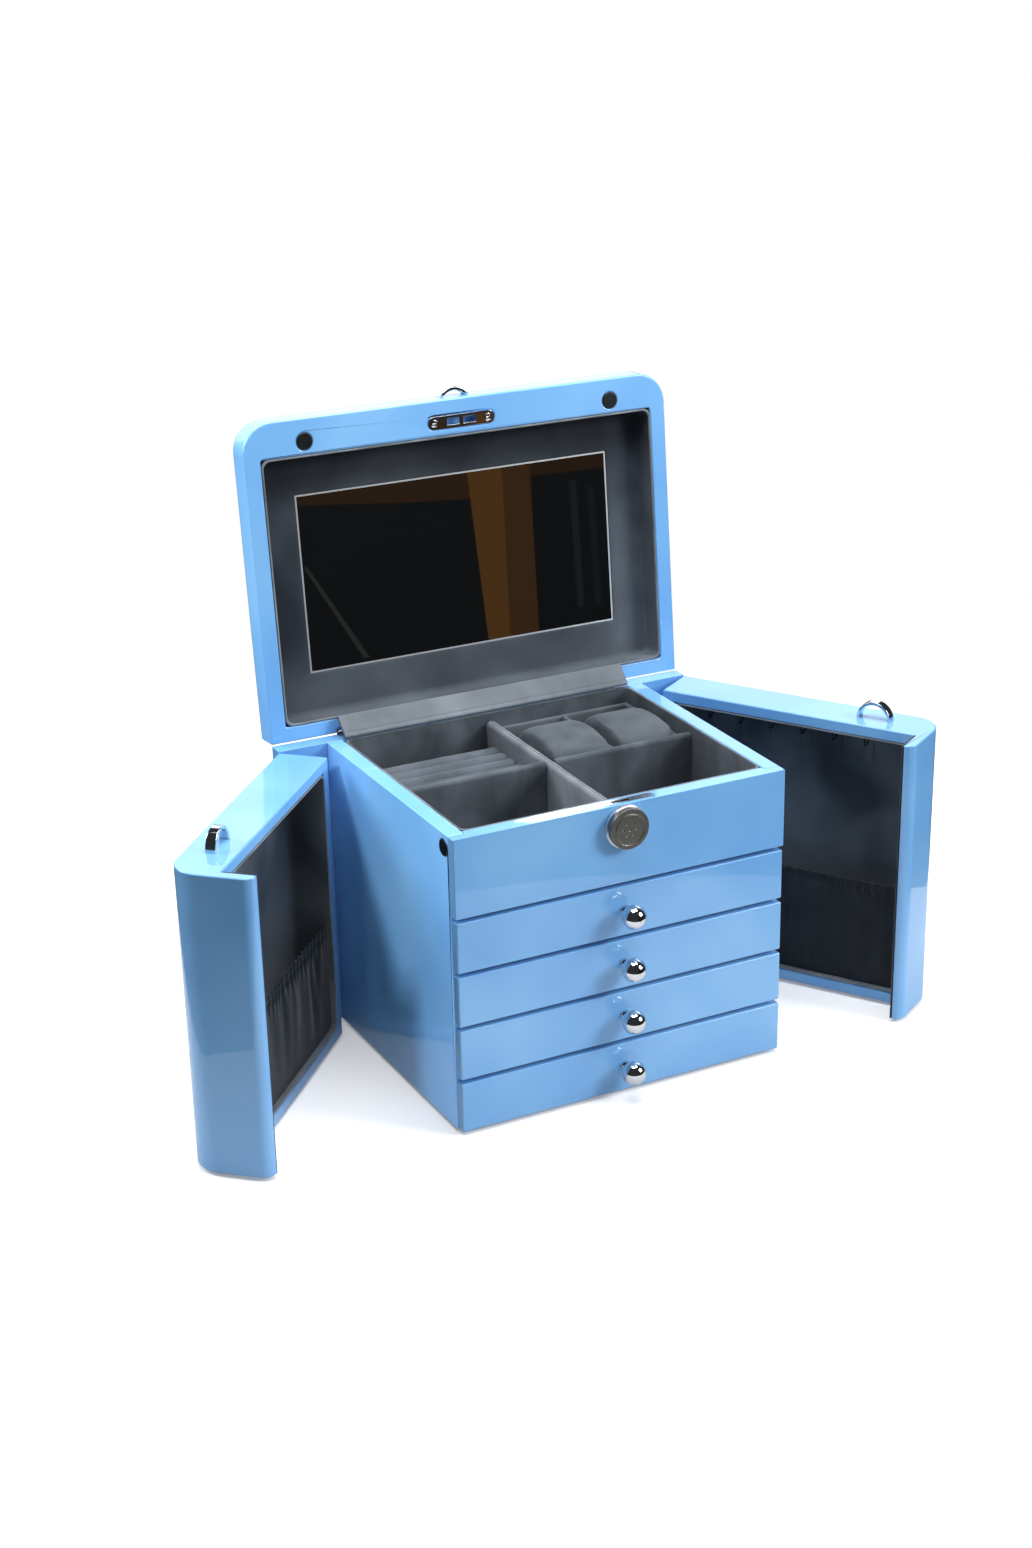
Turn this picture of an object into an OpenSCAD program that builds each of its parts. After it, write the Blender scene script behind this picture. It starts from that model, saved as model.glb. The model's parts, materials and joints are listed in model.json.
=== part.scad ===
// Lacquered table-top jewelry armoire: T-plan cabinet with four drawers, two
// wrap-round side doors, a velvet top tray and a deep hinged lid with a mirror.
// Units are millimetres.  The origin is the middle of the felt base's underside,
// +Z is up and -Y is the front.

/* [Cabinet] */
// Width of the cabinet between the doors
body_w = 256; // [200:1:320]
// Depth from the drawer faces to the back board
body_d = 203; // [150:1:260]
// Height of the cabinet without its felt
body_h = 218.5; // [200:0.5:240]
// Thickness of the side boards
side_t = 12; // [9:0.5:15]
// Thickness of the back board
back_t = 12; // [10:0.5:15]
// How far the back board reaches past the cabinet on each side
wing_w = 37; // [30:1:50]
// Thickness of the felt under the cabinet
felt_t = 2; // [1:0.5:3]
// Height of the fixed section round the top tray
section_h = 57.5; // [50:0.5:66]
// Thickness of the overlaid drawer faces
face_t = 8; // [6:0.5:10]

/* [Drawers] */
// Gap between two drawer faces
drawer_gap = 3.05; // [1:0.05:4]
// Length of a drawer box behind its face
box_d = 183; // [120:1:186]
// Height of a drawer box
box_h = 32; // [20:1:32]
// Radius of the drawer knobs
knob_r = 8.7; // [6:0.1:11]

/* [Doors] */
// Thickness of a door's long leg
door_t = 36.2; // [30:0.1:36.4]
// Thickness of the lip that wraps the front
lip_t = 9.4; // [7:0.1:12]
// Thickness of the velvet on the lip's back
lip_velvet = 1; // [0.5:0.1:1.2]
// Reach of the lip from the door's outer face
lip_reach = 60; // [45:1:80]
// Radius of the door's front outer corner
door_r = 22; // [12:1:24]
// How far the left door stands open
left_open = 42.6; // [0:0.1:100]
// How far the right door stands open
right_open = 33; // [0:0.1:100]

/* [Lid] */
// Thickness of the lid
lid_t = 28; // [26:1:34]
// Depth of the lid's recess
lid_recess = 20; // [18:0.5:22]
// Radius of the lid's top outer edge
lid_edge_r = 12; // [4:1:14]
// How far the lid stands open
lid_open = 95.3; // [0:0.1:95.3]
// Width of the mirror
mirror_w = 244; // [180:1:260]
// Height of the mirror
mirror_h = 125; // [90:1:140]

/* [Tray] */
// Thickness of the velvet lining
velvet_t = 1.5; // [1:0.1:2.5]
// Drop of the dividers below the rim
divider_drop = 5.5; // [2:0.5:10]
// Number of ring rolls
rolls = 6; // [3:1:7]

/* [Lock] */
// Radius of the round thumb turn
medal_r = 15.5; // [12:0.5:15.5]

/* [Hidden] */
glue = 0.05;
fit = 0.05;
full_w = body_w + 2 * wing_w;
half_w = full_w / 2;
half_b = body_w / 2;
y_front = -(body_d + back_t) / 2;
y_panel = y_front + body_d;
y_back = y_panel + back_t;
z_base = felt_t;
z_rim = z_base + body_h;
z_section = z_rim - section_h;
in_w = body_w - 2 * side_t;
half_i = in_w / 2;
y_in = y_front + side_t;

first_drop = 0.8;
drawer_pitch = (body_h - section_h - first_drop) / 4;
drawer_h = drawer_pitch - drawer_gap;
shelf_lift = 2.2;
shelf_t = 4;
box_lift = 2.6;
box_wall = 5;
box_floor = 3;
box_side_gap = 1;
face_gap = 0.8;
face_back = 0.25;
drawer_velvet = 1;
tray_floor = z_base + first_drop + 4 * drawer_pitch + shelf_lift;

hinge_gap = 0.4;
door_axis_y = y_panel - hinge_gap / 2;
door_len = door_axis_y - y_front + hinge_gap;
door_z0 = z_base + 0.6;
door_z1 = z_rim - 0.5;
door_rim = 8.5;
door_skin = 6;
door_front_in = 2;
lip_tip_r = 8;
knuckle_r = 2.6;
knuckle_l = 9;
knuckle_h = knuckle_l - 0.4;
leaf_half = 2.5 * knuckle_l;
pin_r = 1.1;
leaf_t = 1.2;

lid_gap = 1;
lid_axis_z = z_rim + lid_gap / 2;
lid_d = y_back - y_front + hinge_gap + lip_t;
lid_side = 12.4;
lid_front = 25.4;
lid_back = 11;
lid_hinge_x = 92;

lock_y = (y_front + y_in) / 2;
lock_z = z_rim - 15.7;
claw_x = 11;
claw_z = z_rim - 4.3;

pull_r = 13.3;
pull_t = 2.3;
pull_w = 7;

// The node that is drawn

base_felt();
side_board(-1);  // side_left
side_board(1);  // side_right
front_rail();
back_board();
shelves();
tray_lining();
long_divider();
cross_dividers();
ring_rolls();
pillow_tray();
lock_plate();
lock_case();
side_magnets();
hinges_fixed();
lock_knob();
claw(-1);  // claw_left
claw(1);  // claw_right
in_lid() lid_shell();
in_lid() lid_lining();
in_lid() mirror_backing();
in_lid() mirror_glass();  // mirror
in_lid() strike_plate();
in_lid() lid_bumpers();
in_lid() lid_pull();
lid_hinges();
flap();
in_door(-1, left_open) door_shell();  // left_door
in_door(-1, left_open) door_lining();  // left_door_lining
in_door(-1, left_open) lip_velvet_strip();  // left_lip_velvet
in_door(-1, left_open) door_pocket();  // left_pocket
in_door(-1, left_open) door_hooks();  // left_hooks
in_door(-1, left_open) door_pull();  // left_pull
in_door(-1, left_open) door_hinges();  // left_hinges
in_door(1, right_open) door_shell();  // right_door
in_door(1, right_open) door_lining();  // right_door_lining
in_door(1, right_open) lip_velvet_strip();  // right_lip_velvet
in_door(1, right_open) door_pocket();  // right_pocket
in_door(1, right_open) door_hooks();  // right_hooks
in_door(1, right_open) door_pull();  // right_pull
in_door(1, right_open) door_hinges();  // right_hinges
drawer_face(3);  // drawer1_face
drawer_box(3);  // drawer1_box
drawer_velvet(3);  // drawer1_velvet
drawer_knob(3);  // drawer1_knob
drawer_face(2);  // drawer2_face
drawer_box(2);  // drawer2_box
drawer_velvet(2);  // drawer2_velvet
drawer_knob(2);  // drawer2_knob
drawer_face(1);  // drawer3_face
drawer_box(1);  // drawer3_box
drawer_velvet(1);  // drawer3_velvet
drawer_knob(1);  // drawer3_knob
drawer_face(0);  // drawer4_face
drawer_box(0);  // drawer4_box
drawer_velvet(0);  // drawer4_velvet
drawer_knob(0);  // drawer4_knob
pillow(0);  // pillow_left
pillow(1);  // pillow_right

// ---- helpers ----

// A box from its low corner to its high corner
module slab(x0, x1, y0, y1, z0, z1)
{
    translate([x0, y0, z0]) cube([x1 - x0, y1 - y0, z1 - z0]);
}

// A cylinder along Y, from y0 to y1
module rod_y(x, z, r, y0, y1)
{
    translate([x, y1, z]) rotate([90, 0, 0]) cylinder(r = r, h = y1 - y0, $fn = 48);
}

// A cylinder along X, from x0 to x1
module rod_x(y, z, r, x0, x1)
{
    translate([x0, y, z]) rotate([0, 90, 0]) cylinder(r = r, h = x1 - x0, $fn = 48);
}

// A cylinder along Z, from z0 to z1
module rod_z(x, y, r, z0, z1)
{
    translate([x, y, z0]) cylinder(r = r, h = z1 - z0, $fn = 48);
}

// Door coordinates: origin on the hinge line, -X into the cabinet, -Y to the front
module in_door(side, open)
{
    mirror([side < 0 ? 1 : 0, 0, 0])
        translate([half_w, door_axis_y, 0])
            rotate([0, 0, open]) children();
}

// Lid coordinates: origin on the hinge line, -Y to the front, +Z out of the lid's top
module in_lid()
{
    translate([0, y_back, lid_axis_z]) rotate([-lid_open, 0, 0]) children();
}

// A half-round arch standing on z = 0 with its feet along Y
module arch()
{
    rotate([90, 0, 90])
        translate([0, 0, -pull_w / 2])
            linear_extrude(pull_w)
                difference()
                {
                    circle(r = pull_r, $fn = 64);
                    circle(r = pull_r - pull_t, $fn = 64);
                    translate([-pull_r - 1, -2 * pull_r - 2]) square([2 * pull_r + 2, 2 * pull_r + 2]);
                }
}

// ---- cabinet ----

felt_in = 5;
module base_felt()
{
    color("#22262b")
    slab(-half_b + felt_in, half_b - felt_in, y_front + face_t + felt_in, y_back - felt_in,
         0, felt_t);
}

// Notches for the hinges of one door, in door coordinates
module door_hinge_notches(extra)
{
    for (z = door_hinge_z)
        rod_z(0, 0, knuckle_r + extra, z - leaf_half - extra, z + leaf_half + extra);
}
door_hinge_z = [z_base + 48, z_rim - 48];
knuckle_clear = 0.35;
leaf_w = 14;

module side_board(side)
{
    color("#7db2e6")
    mirror([side < 0 ? 1 : 0, 0, 0])
        difference()
        {
            slab(half_i, half_b, y_front + face_t + glue, y_panel - glue, z_base, z_rim);
            magnet_hole();
        }
}

magnet_r = 6;
magnet_y = y_front + 15;
magnet_z = z_rim - 10.5;
magnet_deep = 3;
magnet_proud = 0.3;
module magnet_hole()
{
    rod_x(magnet_y, magnet_z, magnet_r + glue, half_b - magnet_deep - glue, half_b + 1);
}

module side_magnets()
{
    color("#0b0d10")
    for (side = [0, 1])
        mirror([side, 0, 0])
            rod_x(magnet_y, magnet_z, magnet_r, half_b - magnet_deep, half_b + magnet_proud);
}

module front_rail()
{
    color("#7db2e6")
    difference()
    {
        union()
        {
            slab(-half_b, half_b, y_front, y_front + face_t, z_section, z_rim);
            slab(-half_i + glue, half_i - glue, y_front + face_t, y_in, tray_floor + glue, z_rim);
        }
        slab(-case_w / 2 - glue, case_w / 2 + glue, lock_y - case_d / 2 - glue,
             lock_y + case_d / 2 + glue, case_z0 - glue, z_rim + 1);
        lock_plate_blank(plate_w + 2 * glue, plate_d + 2 * glue, z_rim - plate_t - glue, z_rim + 1);
        rod_y(0, lock_z, spindle_r + knuckle_clear, y_front - 1, lock_y);
    }
}

module back_board()
{
    notch = knuckle_r + knuckle_clear;
    color("#7db2e6")
    difference()
    {
        slab(-half_w, half_w, y_panel, y_back, z_base, z_rim);
        for (side = [0, 1])
        {
            mirror([side, 0, 0])
            {
                translate([half_w, door_axis_y, 0]) door_hinge_notches(knuckle_clear);
                for (z = door_hinge_z)
                {
                    slab(half_w - leaf_w - knuckle_clear, half_w + 1, y_panel - 1, y_panel + leaf_t,
                         z - leaf_half - glue, z + leaf_half + glue);
                }
            }
            lid_x = side == 0 ? -lid_hinge_x : lid_hinge_x;
            rod_x(y_back, lid_axis_z, notch, lid_x - leaf_half - knuckle_clear,
                  lid_x + leaf_half + knuckle_clear);
            slab(lid_x - leaf_half - glue, lid_x + leaf_half + glue, y_back - leaf_t, y_back + 1,
                 z_rim - leaf_w - knuckle_clear, z_rim + 1);
        }
    }
}

// Fixed hinge leaves, outer knuckles and pins for the lid and both doors
module hinges_fixed()
{
    color("#c9ced3")
    {
        for (side = [0, 1])
        {
            mirror([side, 0, 0])
                for (z = door_hinge_z)
                {
                    slab(half_w - leaf_w, half_w - knuckle_r, y_panel + glue, y_panel + leaf_t - glue,
                         z - leaf_half, z + leaf_half);
                    for (k = [-2, 0, 2])
                    {
                        translate([half_w, door_axis_y, z + k * knuckle_l]) knuckle();
                        slab(half_w - knuckle_r - 0.5, half_w, y_panel + glue, y_panel + leaf_t - glue,
                             z + k * knuckle_l - knuckle_h / 2, z + k * knuckle_l + knuckle_h / 2);
                    }
                    rod_z(half_w, door_axis_y, pin_r, z - leaf_half, z + leaf_half);
                }
        }
        for (x = [-lid_hinge_x, lid_hinge_x])
        {
            slab(x - leaf_half, x + leaf_half, y_back - leaf_t + glue, y_back - glue,
                 z_rim - leaf_w, lid_axis_z - knuckle_r);
            for (k = [-2, 0, 2])
            {
                translate([x + k * knuckle_l, y_back, lid_axis_z]) rotate([0, 90, 0]) knuckle();
                slab(x + k * knuckle_l - knuckle_h / 2, x + k * knuckle_l + knuckle_h / 2,
                     y_back - leaf_t + glue, y_back - glue, lid_axis_z - knuckle_r - 0.5, lid_axis_z);
            }
            rod_x(y_back, lid_axis_z, pin_r, x - leaf_half, x + leaf_half);
        }
    }
}

// One knuckle centred on the origin along Z
module knuckle()
{
    cylinder(r = knuckle_r, h = knuckle_h, center = true, $fn = 48);
}

module shelves()
{
    x = half_i - glue;
    y0 = y_front + face_t + glue;
    y1 = y_panel - glue;
    color("#9a8468")
    {
        slab(-x, x, y0, y1, z_base, z_base + first_drop + shelf_lift);
        for (i = [1 : 4])
        {
            top = z_base + first_drop + i * drawer_pitch + shelf_lift;
            slab(-x, x, y0, y1, top - shelf_t, top);
        }
    }
}

module tray_lining()
{
    x = half_i - glue;
    color("#454b52")
    difference()
    {
        slab(-x, x, y_in + glue, y_panel - glue, tray_floor + glue, z_rim);
        slab(-x + velvet_t, x - velvet_t, y_in + velvet_t, y_panel - velvet_t,
             tray_floor + velvet_t, z_rim + 1);
    }
}

divider_t = 8;
cross_t = 5;
tray_top = z_rim - divider_drop;
tray_bed = tray_floor + velvet_t + glue;
tray_x = half_i - velvet_t - 2 * glue;
tray_y0 = y_in + velvet_t + 2 * glue;
tray_y1 = y_panel - velvet_t - 2 * glue;
module long_divider()
{
    color("#5a6168")
    {
        slab(-divider_t / 2, divider_t / 2, tray_y0, tray_y1, tray_bed, tray_top - divider_t / 2);
        rod_y(0, tray_top - divider_t / 2, divider_t / 2, tray_y0, tray_y1);
    }
}

module cross_dividers()
{
    color("#5a6168")
    for (side = [0, 1])
    {
        mirror([side, 0, 0])
        {
            slab(divider_t / 2 + glue, tray_x, -cross_t / 2, cross_t / 2,
                 tray_bed, tray_top - cross_t / 2);
            rod_x(0, tray_top - cross_t / 2, cross_t / 2, divider_t / 2 + glue, tray_x);
        }
    }
}

roll_block = 78;
roll_h = 34;
module ring_rolls()
{
    pitch = roll_block / rolls;
    r = pitch / 2 - 0.3;
    y0 = cross_t / 2 + glue;
    color("#4e545b")
    {
        slab(-tray_x, -divider_t / 2 - glue, y0, y0 + roll_block, tray_bed, tray_bed + roll_h - pitch);
        for (i = [0 : rolls - 1])
        {
            y = y0 + (i + 0.5) * pitch;
            slab(-tray_x, -divider_t / 2 - glue, y - r, y + r,
                 tray_bed + roll_h - pitch - 1, tray_bed + roll_h - r);
            rod_x(y, tray_bed + roll_h - r, r, -tray_x, -divider_t / 2 - glue);
        }
    }
}

box_t = 3.5;
sub_x0 = divider_t / 2 + glue;
sub_x1 = tray_x;
sub_y0 = cross_t / 2 + glue;
sub_y1 = tray_y1;
sub_top = z_rim - 12;
sub_mid = (sub_x0 + sub_x1) / 2;
sub_base = tray_bed + 8;
module pillow_tray()
{
    color("#5a6168")
    difference()
    {
        slab(sub_x0, sub_x1, sub_y0, sub_y1, tray_bed, sub_top);
        slab(sub_x0 + box_t, sub_mid - box_t / 2, sub_y0 + box_t, sub_y1 - box_t, sub_base, z_rim);
        slab(sub_mid + box_t / 2, sub_x1 - box_t, sub_y0 + box_t, sub_y1 - box_t, sub_base, z_rim);
    }
}

// A cushion: a rounded bar across the bay with slightly domed ends
pillow_gap = 1;
pillow_h = 43;
pillow_len = 66;
module pillow(bay)
{
    x0 = bay == 0 ? sub_x0 + box_t + pillow_gap : sub_mid + box_t / 2 + pillow_gap;
    x1 = bay == 0 ? sub_mid - box_t / 2 - pillow_gap : sub_x1 - box_t - pillow_gap;
    y0 = sub_y0 + box_t + pillow_gap;
    y1 = y0 + pillow_len;
    z0 = sub_base + 0.4;
    r = 15;
    color("#6c737a")
    translate([x0, 0, 0])
        rotate([90, 0, 90])
            linear_extrude(x1 - x0)
            {
                translate([y0 + r, z0 + r]) circle(r = r, $fn = 64);
                translate([y1 - r, z0 + r]) circle(r = r, $fn = 64);
                translate([y0 + r, z0]) square([y1 - y0 - 2 * r, pillow_h]);
                translate([y0, z0 + r]) square([y1 - y0, pillow_h - 2 * r]);
                translate([y0 + r, z0 + pillow_h - r]) circle(r = r, $fn = 64);
                translate([y1 - r, z0 + pillow_h - r]) circle(r = r, $fn = 64);
            }
}

// ---- lock ----

plate_w = 52;
plate_d = 7;
plate_t = 1.4;
slot_w = 13.4;
slot_d = 3.2;
case_w = 44;
case_d = 6.8;
case_z0 = z_rim - 27;
case_wall = 1.5;
case_top = z_rim - plate_t - glue;
spindle_r = 2.6;
claw_t = 2.4;
claw_pin_r = 1.3;
claw_r = 9;
claw_in_r = 6.5;
claw_hub_r = 2.3;
plate_proud = 0.2;
plate_screw_x = 22.5;
plate_screw_r = 1.9;
screw_room = 0.2;
screw_slot = 0.28;

// A cross-slotted screw head along Z, cut between the heights slot0 and slot1
module screw_head(x, y, r, z0, z1, slot0, slot1)
{
    arm = 0.62 * r;
    difference()
    {
        rod_z(x, y, r, z0, z1);
        slab(x - arm, x + arm, y - screw_slot, y + screw_slot, slot0, slot1);
        slab(x - screw_slot, x + screw_slot, y - arm, y + arm, slot0, slot1);
    }
}

// A plate with round ends, centred on x = 0
module lock_plate_blank(w, d, z0, z1)
{
    translate([0, lock_y, z0])
        linear_extrude(z1 - z0)
        {
            square([w - d, d], center = true);
            translate([-(w - d) / 2, 0]) circle(d = d, $fn = 48);
            translate([(w - d) / 2, 0]) circle(d = d, $fn = 48);
        }
}

module lock_plate()
{
    seat_z = z_rim - 0.3;
    color("#d5dade")
    {
        difference()
        {
            lock_plate_blank(plate_w, plate_d, z_rim - plate_t, z_rim + plate_proud);
            slab(-slot_w / 2, slot_w / 2, lock_y - slot_d / 2, lock_y + slot_d / 2, z_rim - 3, z_rim + 2);
            for (x = [-plate_screw_x, plate_screw_x])
                rod_z(x, lock_y, plate_screw_r + screw_room, seat_z, z_rim + 1);
        }
        for (x = [-plate_screw_x, plate_screw_x])
            screw_head(x, lock_y, plate_screw_r, seat_z, z_rim + 0.15, z_rim - 0.15, z_rim + 1);
    }
}

module lock_case()
{
    room = claw_t + 0.6;
    color("#aeb4ba")
    {
        difference()
        {
            slab(-case_w / 2, case_w / 2, lock_y - case_d / 2, lock_y + case_d / 2, case_z0, case_top);
            slab(-case_w / 2 + case_wall, case_w / 2 - case_wall, lock_y - room / 2, lock_y + room / 2,
                 case_z0 + case_wall, z_rim);
            rod_y(0, lock_z, spindle_r + fit, lock_y - case_d, lock_y);
        }
        for (x = [-claw_x, claw_x])
        {
            rod_y(x, claw_z, claw_pin_r, lock_y - room / 2, lock_y + room / 2);
        }
    }
}

knob_ring_t = 3;
knob_disc_t = 7.5;
knob_disc_r = medal_r - 0.8;
knob_y = y_front - 0.3;
mark_deep = 0.4;
groove_r = 11.6;
groove_w = 1;
dot_circle = 5;
dot_r = 0.9;
centre_dot_r = 1.4;
module lock_knob()
{
    color("#d5dade")
    {
        rod_y(0, lock_z, medal_r, knob_y - knob_ring_t, knob_y);
        rod_y(0, lock_z, spindle_r, knob_y, lock_y - claw_t / 2 - 0.3);
        difference()
        {
            rod_y(0, lock_z, knob_disc_r, knob_y - knob_disc_t, knob_y - knob_ring_t);
            knob_marks();
        }
    }
}

// A ring groove, six small dots and a middle dot, sunk in the round turn's face
module knob_marks()
{
    y0 = knob_y - knob_disc_t - 1;
    y1 = knob_y - knob_disc_t + mark_deep;
    difference()
    {
        rod_y(0, lock_z, groove_r, y0, y1);
        rod_y(0, lock_z, groove_r - groove_w, y0 - 1, y1 + 1);
    }
    for (a = [0 : 60 : 300])
        translate([0, 0, lock_z]) rotate([0, a, 0]) rod_y(dot_circle, 0, dot_r, y0, y1);
    rod_y(0, lock_z, centre_dot_r, y0, y1);
}

// A sickle claw on its own pin, drawn back inside the case
module claw(side)
{
    color("#c3c8cd")
    mirror([side < 0 ? 1 : 0, 0, 0])
        translate([claw_x, lock_y + claw_t / 2, claw_z])
            rotate([90, 0, 0])
                linear_extrude(claw_t)
                    difference()
                    {
                        union()
                        {
                            difference()
                            {
                                circle(r = claw_r, $fn = 64);
                                circle(r = claw_in_r, $fn = 64);
                                translate([0, -claw_r - 1]) square([claw_r + 1, 2 * claw_r + 2]);
                                translate([-claw_r - 1, 0]) square([claw_r + 2, claw_r + 1]);
                            }
                            circle(r = claw_hub_r, $fn = 48);
                            translate([-claw_hub_r, -claw_in_r - 0.5])
                                square([claw_hub_r, claw_in_r + 0.5]);
                        }
                        circle(r = claw_pin_r + fit, $fn = 48);
                    }
}

// ---- lid ----

// The lid's plan: square corners at the hinge, round ones at the front
module lid_plan(inset)
{
    w = half_w - inset;
    r = door_r - inset;
    translate([-w, -lid_d + inset + r]) square([2 * w, lid_d - inset - r]);
    translate([-w + r, -lid_d + inset]) square([2 * w - 2 * r, r + 1]);
    for (x = [-w + r, w - r])
    {
        translate([x, -lid_d + inset + r]) circle(r = r, $fn = 64);
    }
}

// Quarter-round edge profile, outer face at x = 0 and top at z = lid_edge_r
module edge_profile(back)
{
    intersection()
    {
        translate([-lid_edge_r, 0]) circle(r = lid_edge_r, $fn = 96);
        translate([-lid_edge_r, 0]) square([lid_edge_r, lid_edge_r]);
    }
    translate([-lid_edge_r - back, 0]) square([back, lid_edge_r]);
}

module lid_body()
{
    z1 = lid_gap / 2 + lid_t;
    z_edge = z1 - lid_edge_r;
    core = door_r - lid_edge_r;
    translate([0, 0, lid_gap / 2]) linear_extrude(lid_t - lid_edge_r) lid_plan(0);
    translate([-half_w + door_r, -lid_d + door_r, z_edge])
        cube([full_w - 2 * door_r, lid_d - door_r, lid_edge_r]);
    for (side = [0, 1])
    {
        mirror([side, 0, 0])
        {
            translate([half_w, 0, z_edge])
                rotate([90, 0, 0]) linear_extrude(lid_d - door_r) edge_profile(core);
            translate([half_w - door_r, -lid_d + door_r, z_edge])
                rotate([0, 0, -90])
                    rotate_extrude(angle = 90, $fn = 96) translate([door_r, 0]) edge_profile(core);
        }
    }
    translate([-half_w + door_r, -lid_d, z_edge])
        rotate([90, 0, -90])
            mirror([0, 0, 1])
                linear_extrude(full_w - 2 * door_r) edge_profile(core);
}

module lid_shell()
{
    z0 = lid_gap / 2;
    color("#7db2e6")
    difference()
    {
        lid_body();
        slab(-half_w + lid_side, half_w - lid_side, -lid_d + lid_front, -lid_back, -1, z0 + lid_recess);
        mirror_slab(mirror_edge + glue, 0, backing_top + glue);
        for (x = [-lid_hinge_x, lid_hinge_x])
        {
            rod_x(0, 0, knuckle_r + knuckle_clear, x - leaf_half - knuckle_clear,
                  x + leaf_half + knuckle_clear);
            slab(x - leaf_half - glue, x + leaf_half + glue, -leaf_t, 1, -1, leaf_w + knuckle_clear);
        }
        translate([0, strike_y, z0 - 1]) linear_extrude(strike_t + 1 + glue)
            round_bar(strike_w + 2 * glue, strike_h + 2 * glue);
        slab(-claw_room, claw_room, strike_y - window_h / 2 - 0.3, strike_y + window_h / 2 + 0.3,
             z0 - 1, z0 + claw_room_h);
        for (x = [-bumper_x, bumper_x])
            rod_z(x, bumper_y, bumper_r + glue, z0 - 1, z0 + bumper_deep + glue);
    }
}

strike_w = 52;
strike_h = 9;
strike_t = 1.2;
strike_proud = 0.2;
strike_screw_x = 21;
strike_screw_r = 2.3;
window_x0 = 1.5;
window_x1 = 11.2;
window_h = 4.6;
claw_room = 13;
claw_room_h = 7;
strike_y = -(y_back - lock_y);
bumper_x = 119.5;
bumper_y = -208.8;
bumper_r = 5.8;
bumper_deep = 2;
bumper_proud = 0.6;

module round_bar(w, d)
{
    square([w - d, d], center = true);
    translate([-(w - d) / 2, 0]) circle(d = d, $fn = 48);
    translate([(w - d) / 2, 0]) circle(d = d, $fn = 48);
}

module strike_plate()
{
    color("#d5dade")
    translate([0, strike_y, lid_gap / 2 - strike_proud])
    {
        difference()
        {
            linear_extrude(strike_t + strike_proud) round_bar(strike_w, strike_h);
            slab(-window_x1, -window_x0, -window_h / 2, window_h / 2, -1, 3);
            slab(window_x0, window_x1, -window_h / 2, window_h / 2, -1, 3);
            for (x = [-strike_screw_x, strike_screw_x])
                rod_z(x, 0, strike_screw_r + screw_room, -1, 0.5);
        }
        for (x = [-strike_screw_x, strike_screw_x])
            screw_head(x, 0, strike_screw_r, 0.05, 0.5, -1, 0.3);
    }
}

module lid_bumpers()
{
    z0 = lid_gap / 2;
    color("#0b0d10")
    for (x = [-bumper_x, bumper_x])
        rod_z(x, bumper_y, bumper_r, z0 - bumper_proud, z0 + bumper_deep);
}

mirror_s = 105.3;
mirror_t = 3;
mirror_sunk = 0.4;
mirror_edge = 1.2;
mirror_face = lid_gap / 2 + lid_recess - velvet_t + mirror_sunk;
backing_t = 1;
backing_top = mirror_face + mirror_t + backing_t + glue;
module lid_lining()
{
    z0 = lid_gap / 2;
    x = half_w - lid_side - glue;
    y0 = -lid_d + lid_front + glue;
    y1 = -lid_back - glue;
    color("#454b52")
    difference()
    {
        slab(-x, x, y0, y1, z0 - 0.1, z0 + lid_recess - glue);
        slab(-x + velvet_t, x - velvet_t, y0 + velvet_t, y1 - velvet_t, -2, z0 + lid_recess - velvet_t);
        mirror_slab(mirror_edge + glue, -2, z0 + lid_recess + 1);
    }
}

// A slab the size of the mirror, grown by a margin, between two depths
module mirror_slab(grow, z0, z1)
{
    slab(-mirror_w / 2 - grow, mirror_w / 2 + grow, -mirror_s - mirror_h / 2 - grow,
         -mirror_s + mirror_h / 2 + grow, z0, z1);
}

module mirror_backing()
{
    color("#b9c0c6")
    difference()
    {
        mirror_slab(mirror_edge, mirror_face - 0.2, backing_top);
        mirror_slab(glue, -2, mirror_face + mirror_t + glue);
    }
}

module mirror_glass()
{
    color("#20242a")
    mirror_slab(0, mirror_face, mirror_face + mirror_t);
}

lid_pull_sunk = 7;
lid_pull_z = lid_gap / 2 + 12.5;
module lid_pull()
{
    color("#d5dade")
    difference()
    {
        translate([0, -lid_d + lid_pull_sunk, lid_pull_z]) rotate([90, 0, 0]) rotate([0, 0, 90]) arch();
        lid_body();
    }
}

module lid_hinges()
{
    color("#c9ced3")
    in_lid()
    for (x = [-lid_hinge_x, lid_hinge_x])
    {
        difference()
        {
            union()
            {
                slab(x - leaf_half, x + leaf_half, -leaf_t + glue, -glue, knuckle_r, leaf_w);
                for (k = [-1, 1])
                {
                    translate([x + k * knuckle_l, 0, 0]) rotate([0, 90, 0]) knuckle();
                    slab(x + k * knuckle_l - knuckle_h / 2, x + k * knuckle_l + knuckle_h / 2,
                         -leaf_t + glue, -glue, 0, knuckle_r + 0.5);
                }
            }
            rod_x(0, 0, pin_r + fit, x - 3 * knuckle_l, x + 3 * knuckle_l);
        }
    }
}

// ---- flap between the tray and the lid ----

flap_l = 18;
flap_t = 2.4;
flap_bead_r = 0.9;
flap_rise = 44.5;
flap_half = 115.4;
flap_y = y_panel - 1.8;
flap_z = z_rim + 1.4;
module flap()
{
    color("#848b92")
    translate([0, flap_y, flap_z])
        rotate([flap_rise, 0, 0])
        {
            slab(-flap_half, flap_half, 0, flap_l, -0.6, flap_t - 0.6);
            rod_x(0, 0, flap_bead_r, -flap_half, flap_half);
        }
}

// ---- doors ----

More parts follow.
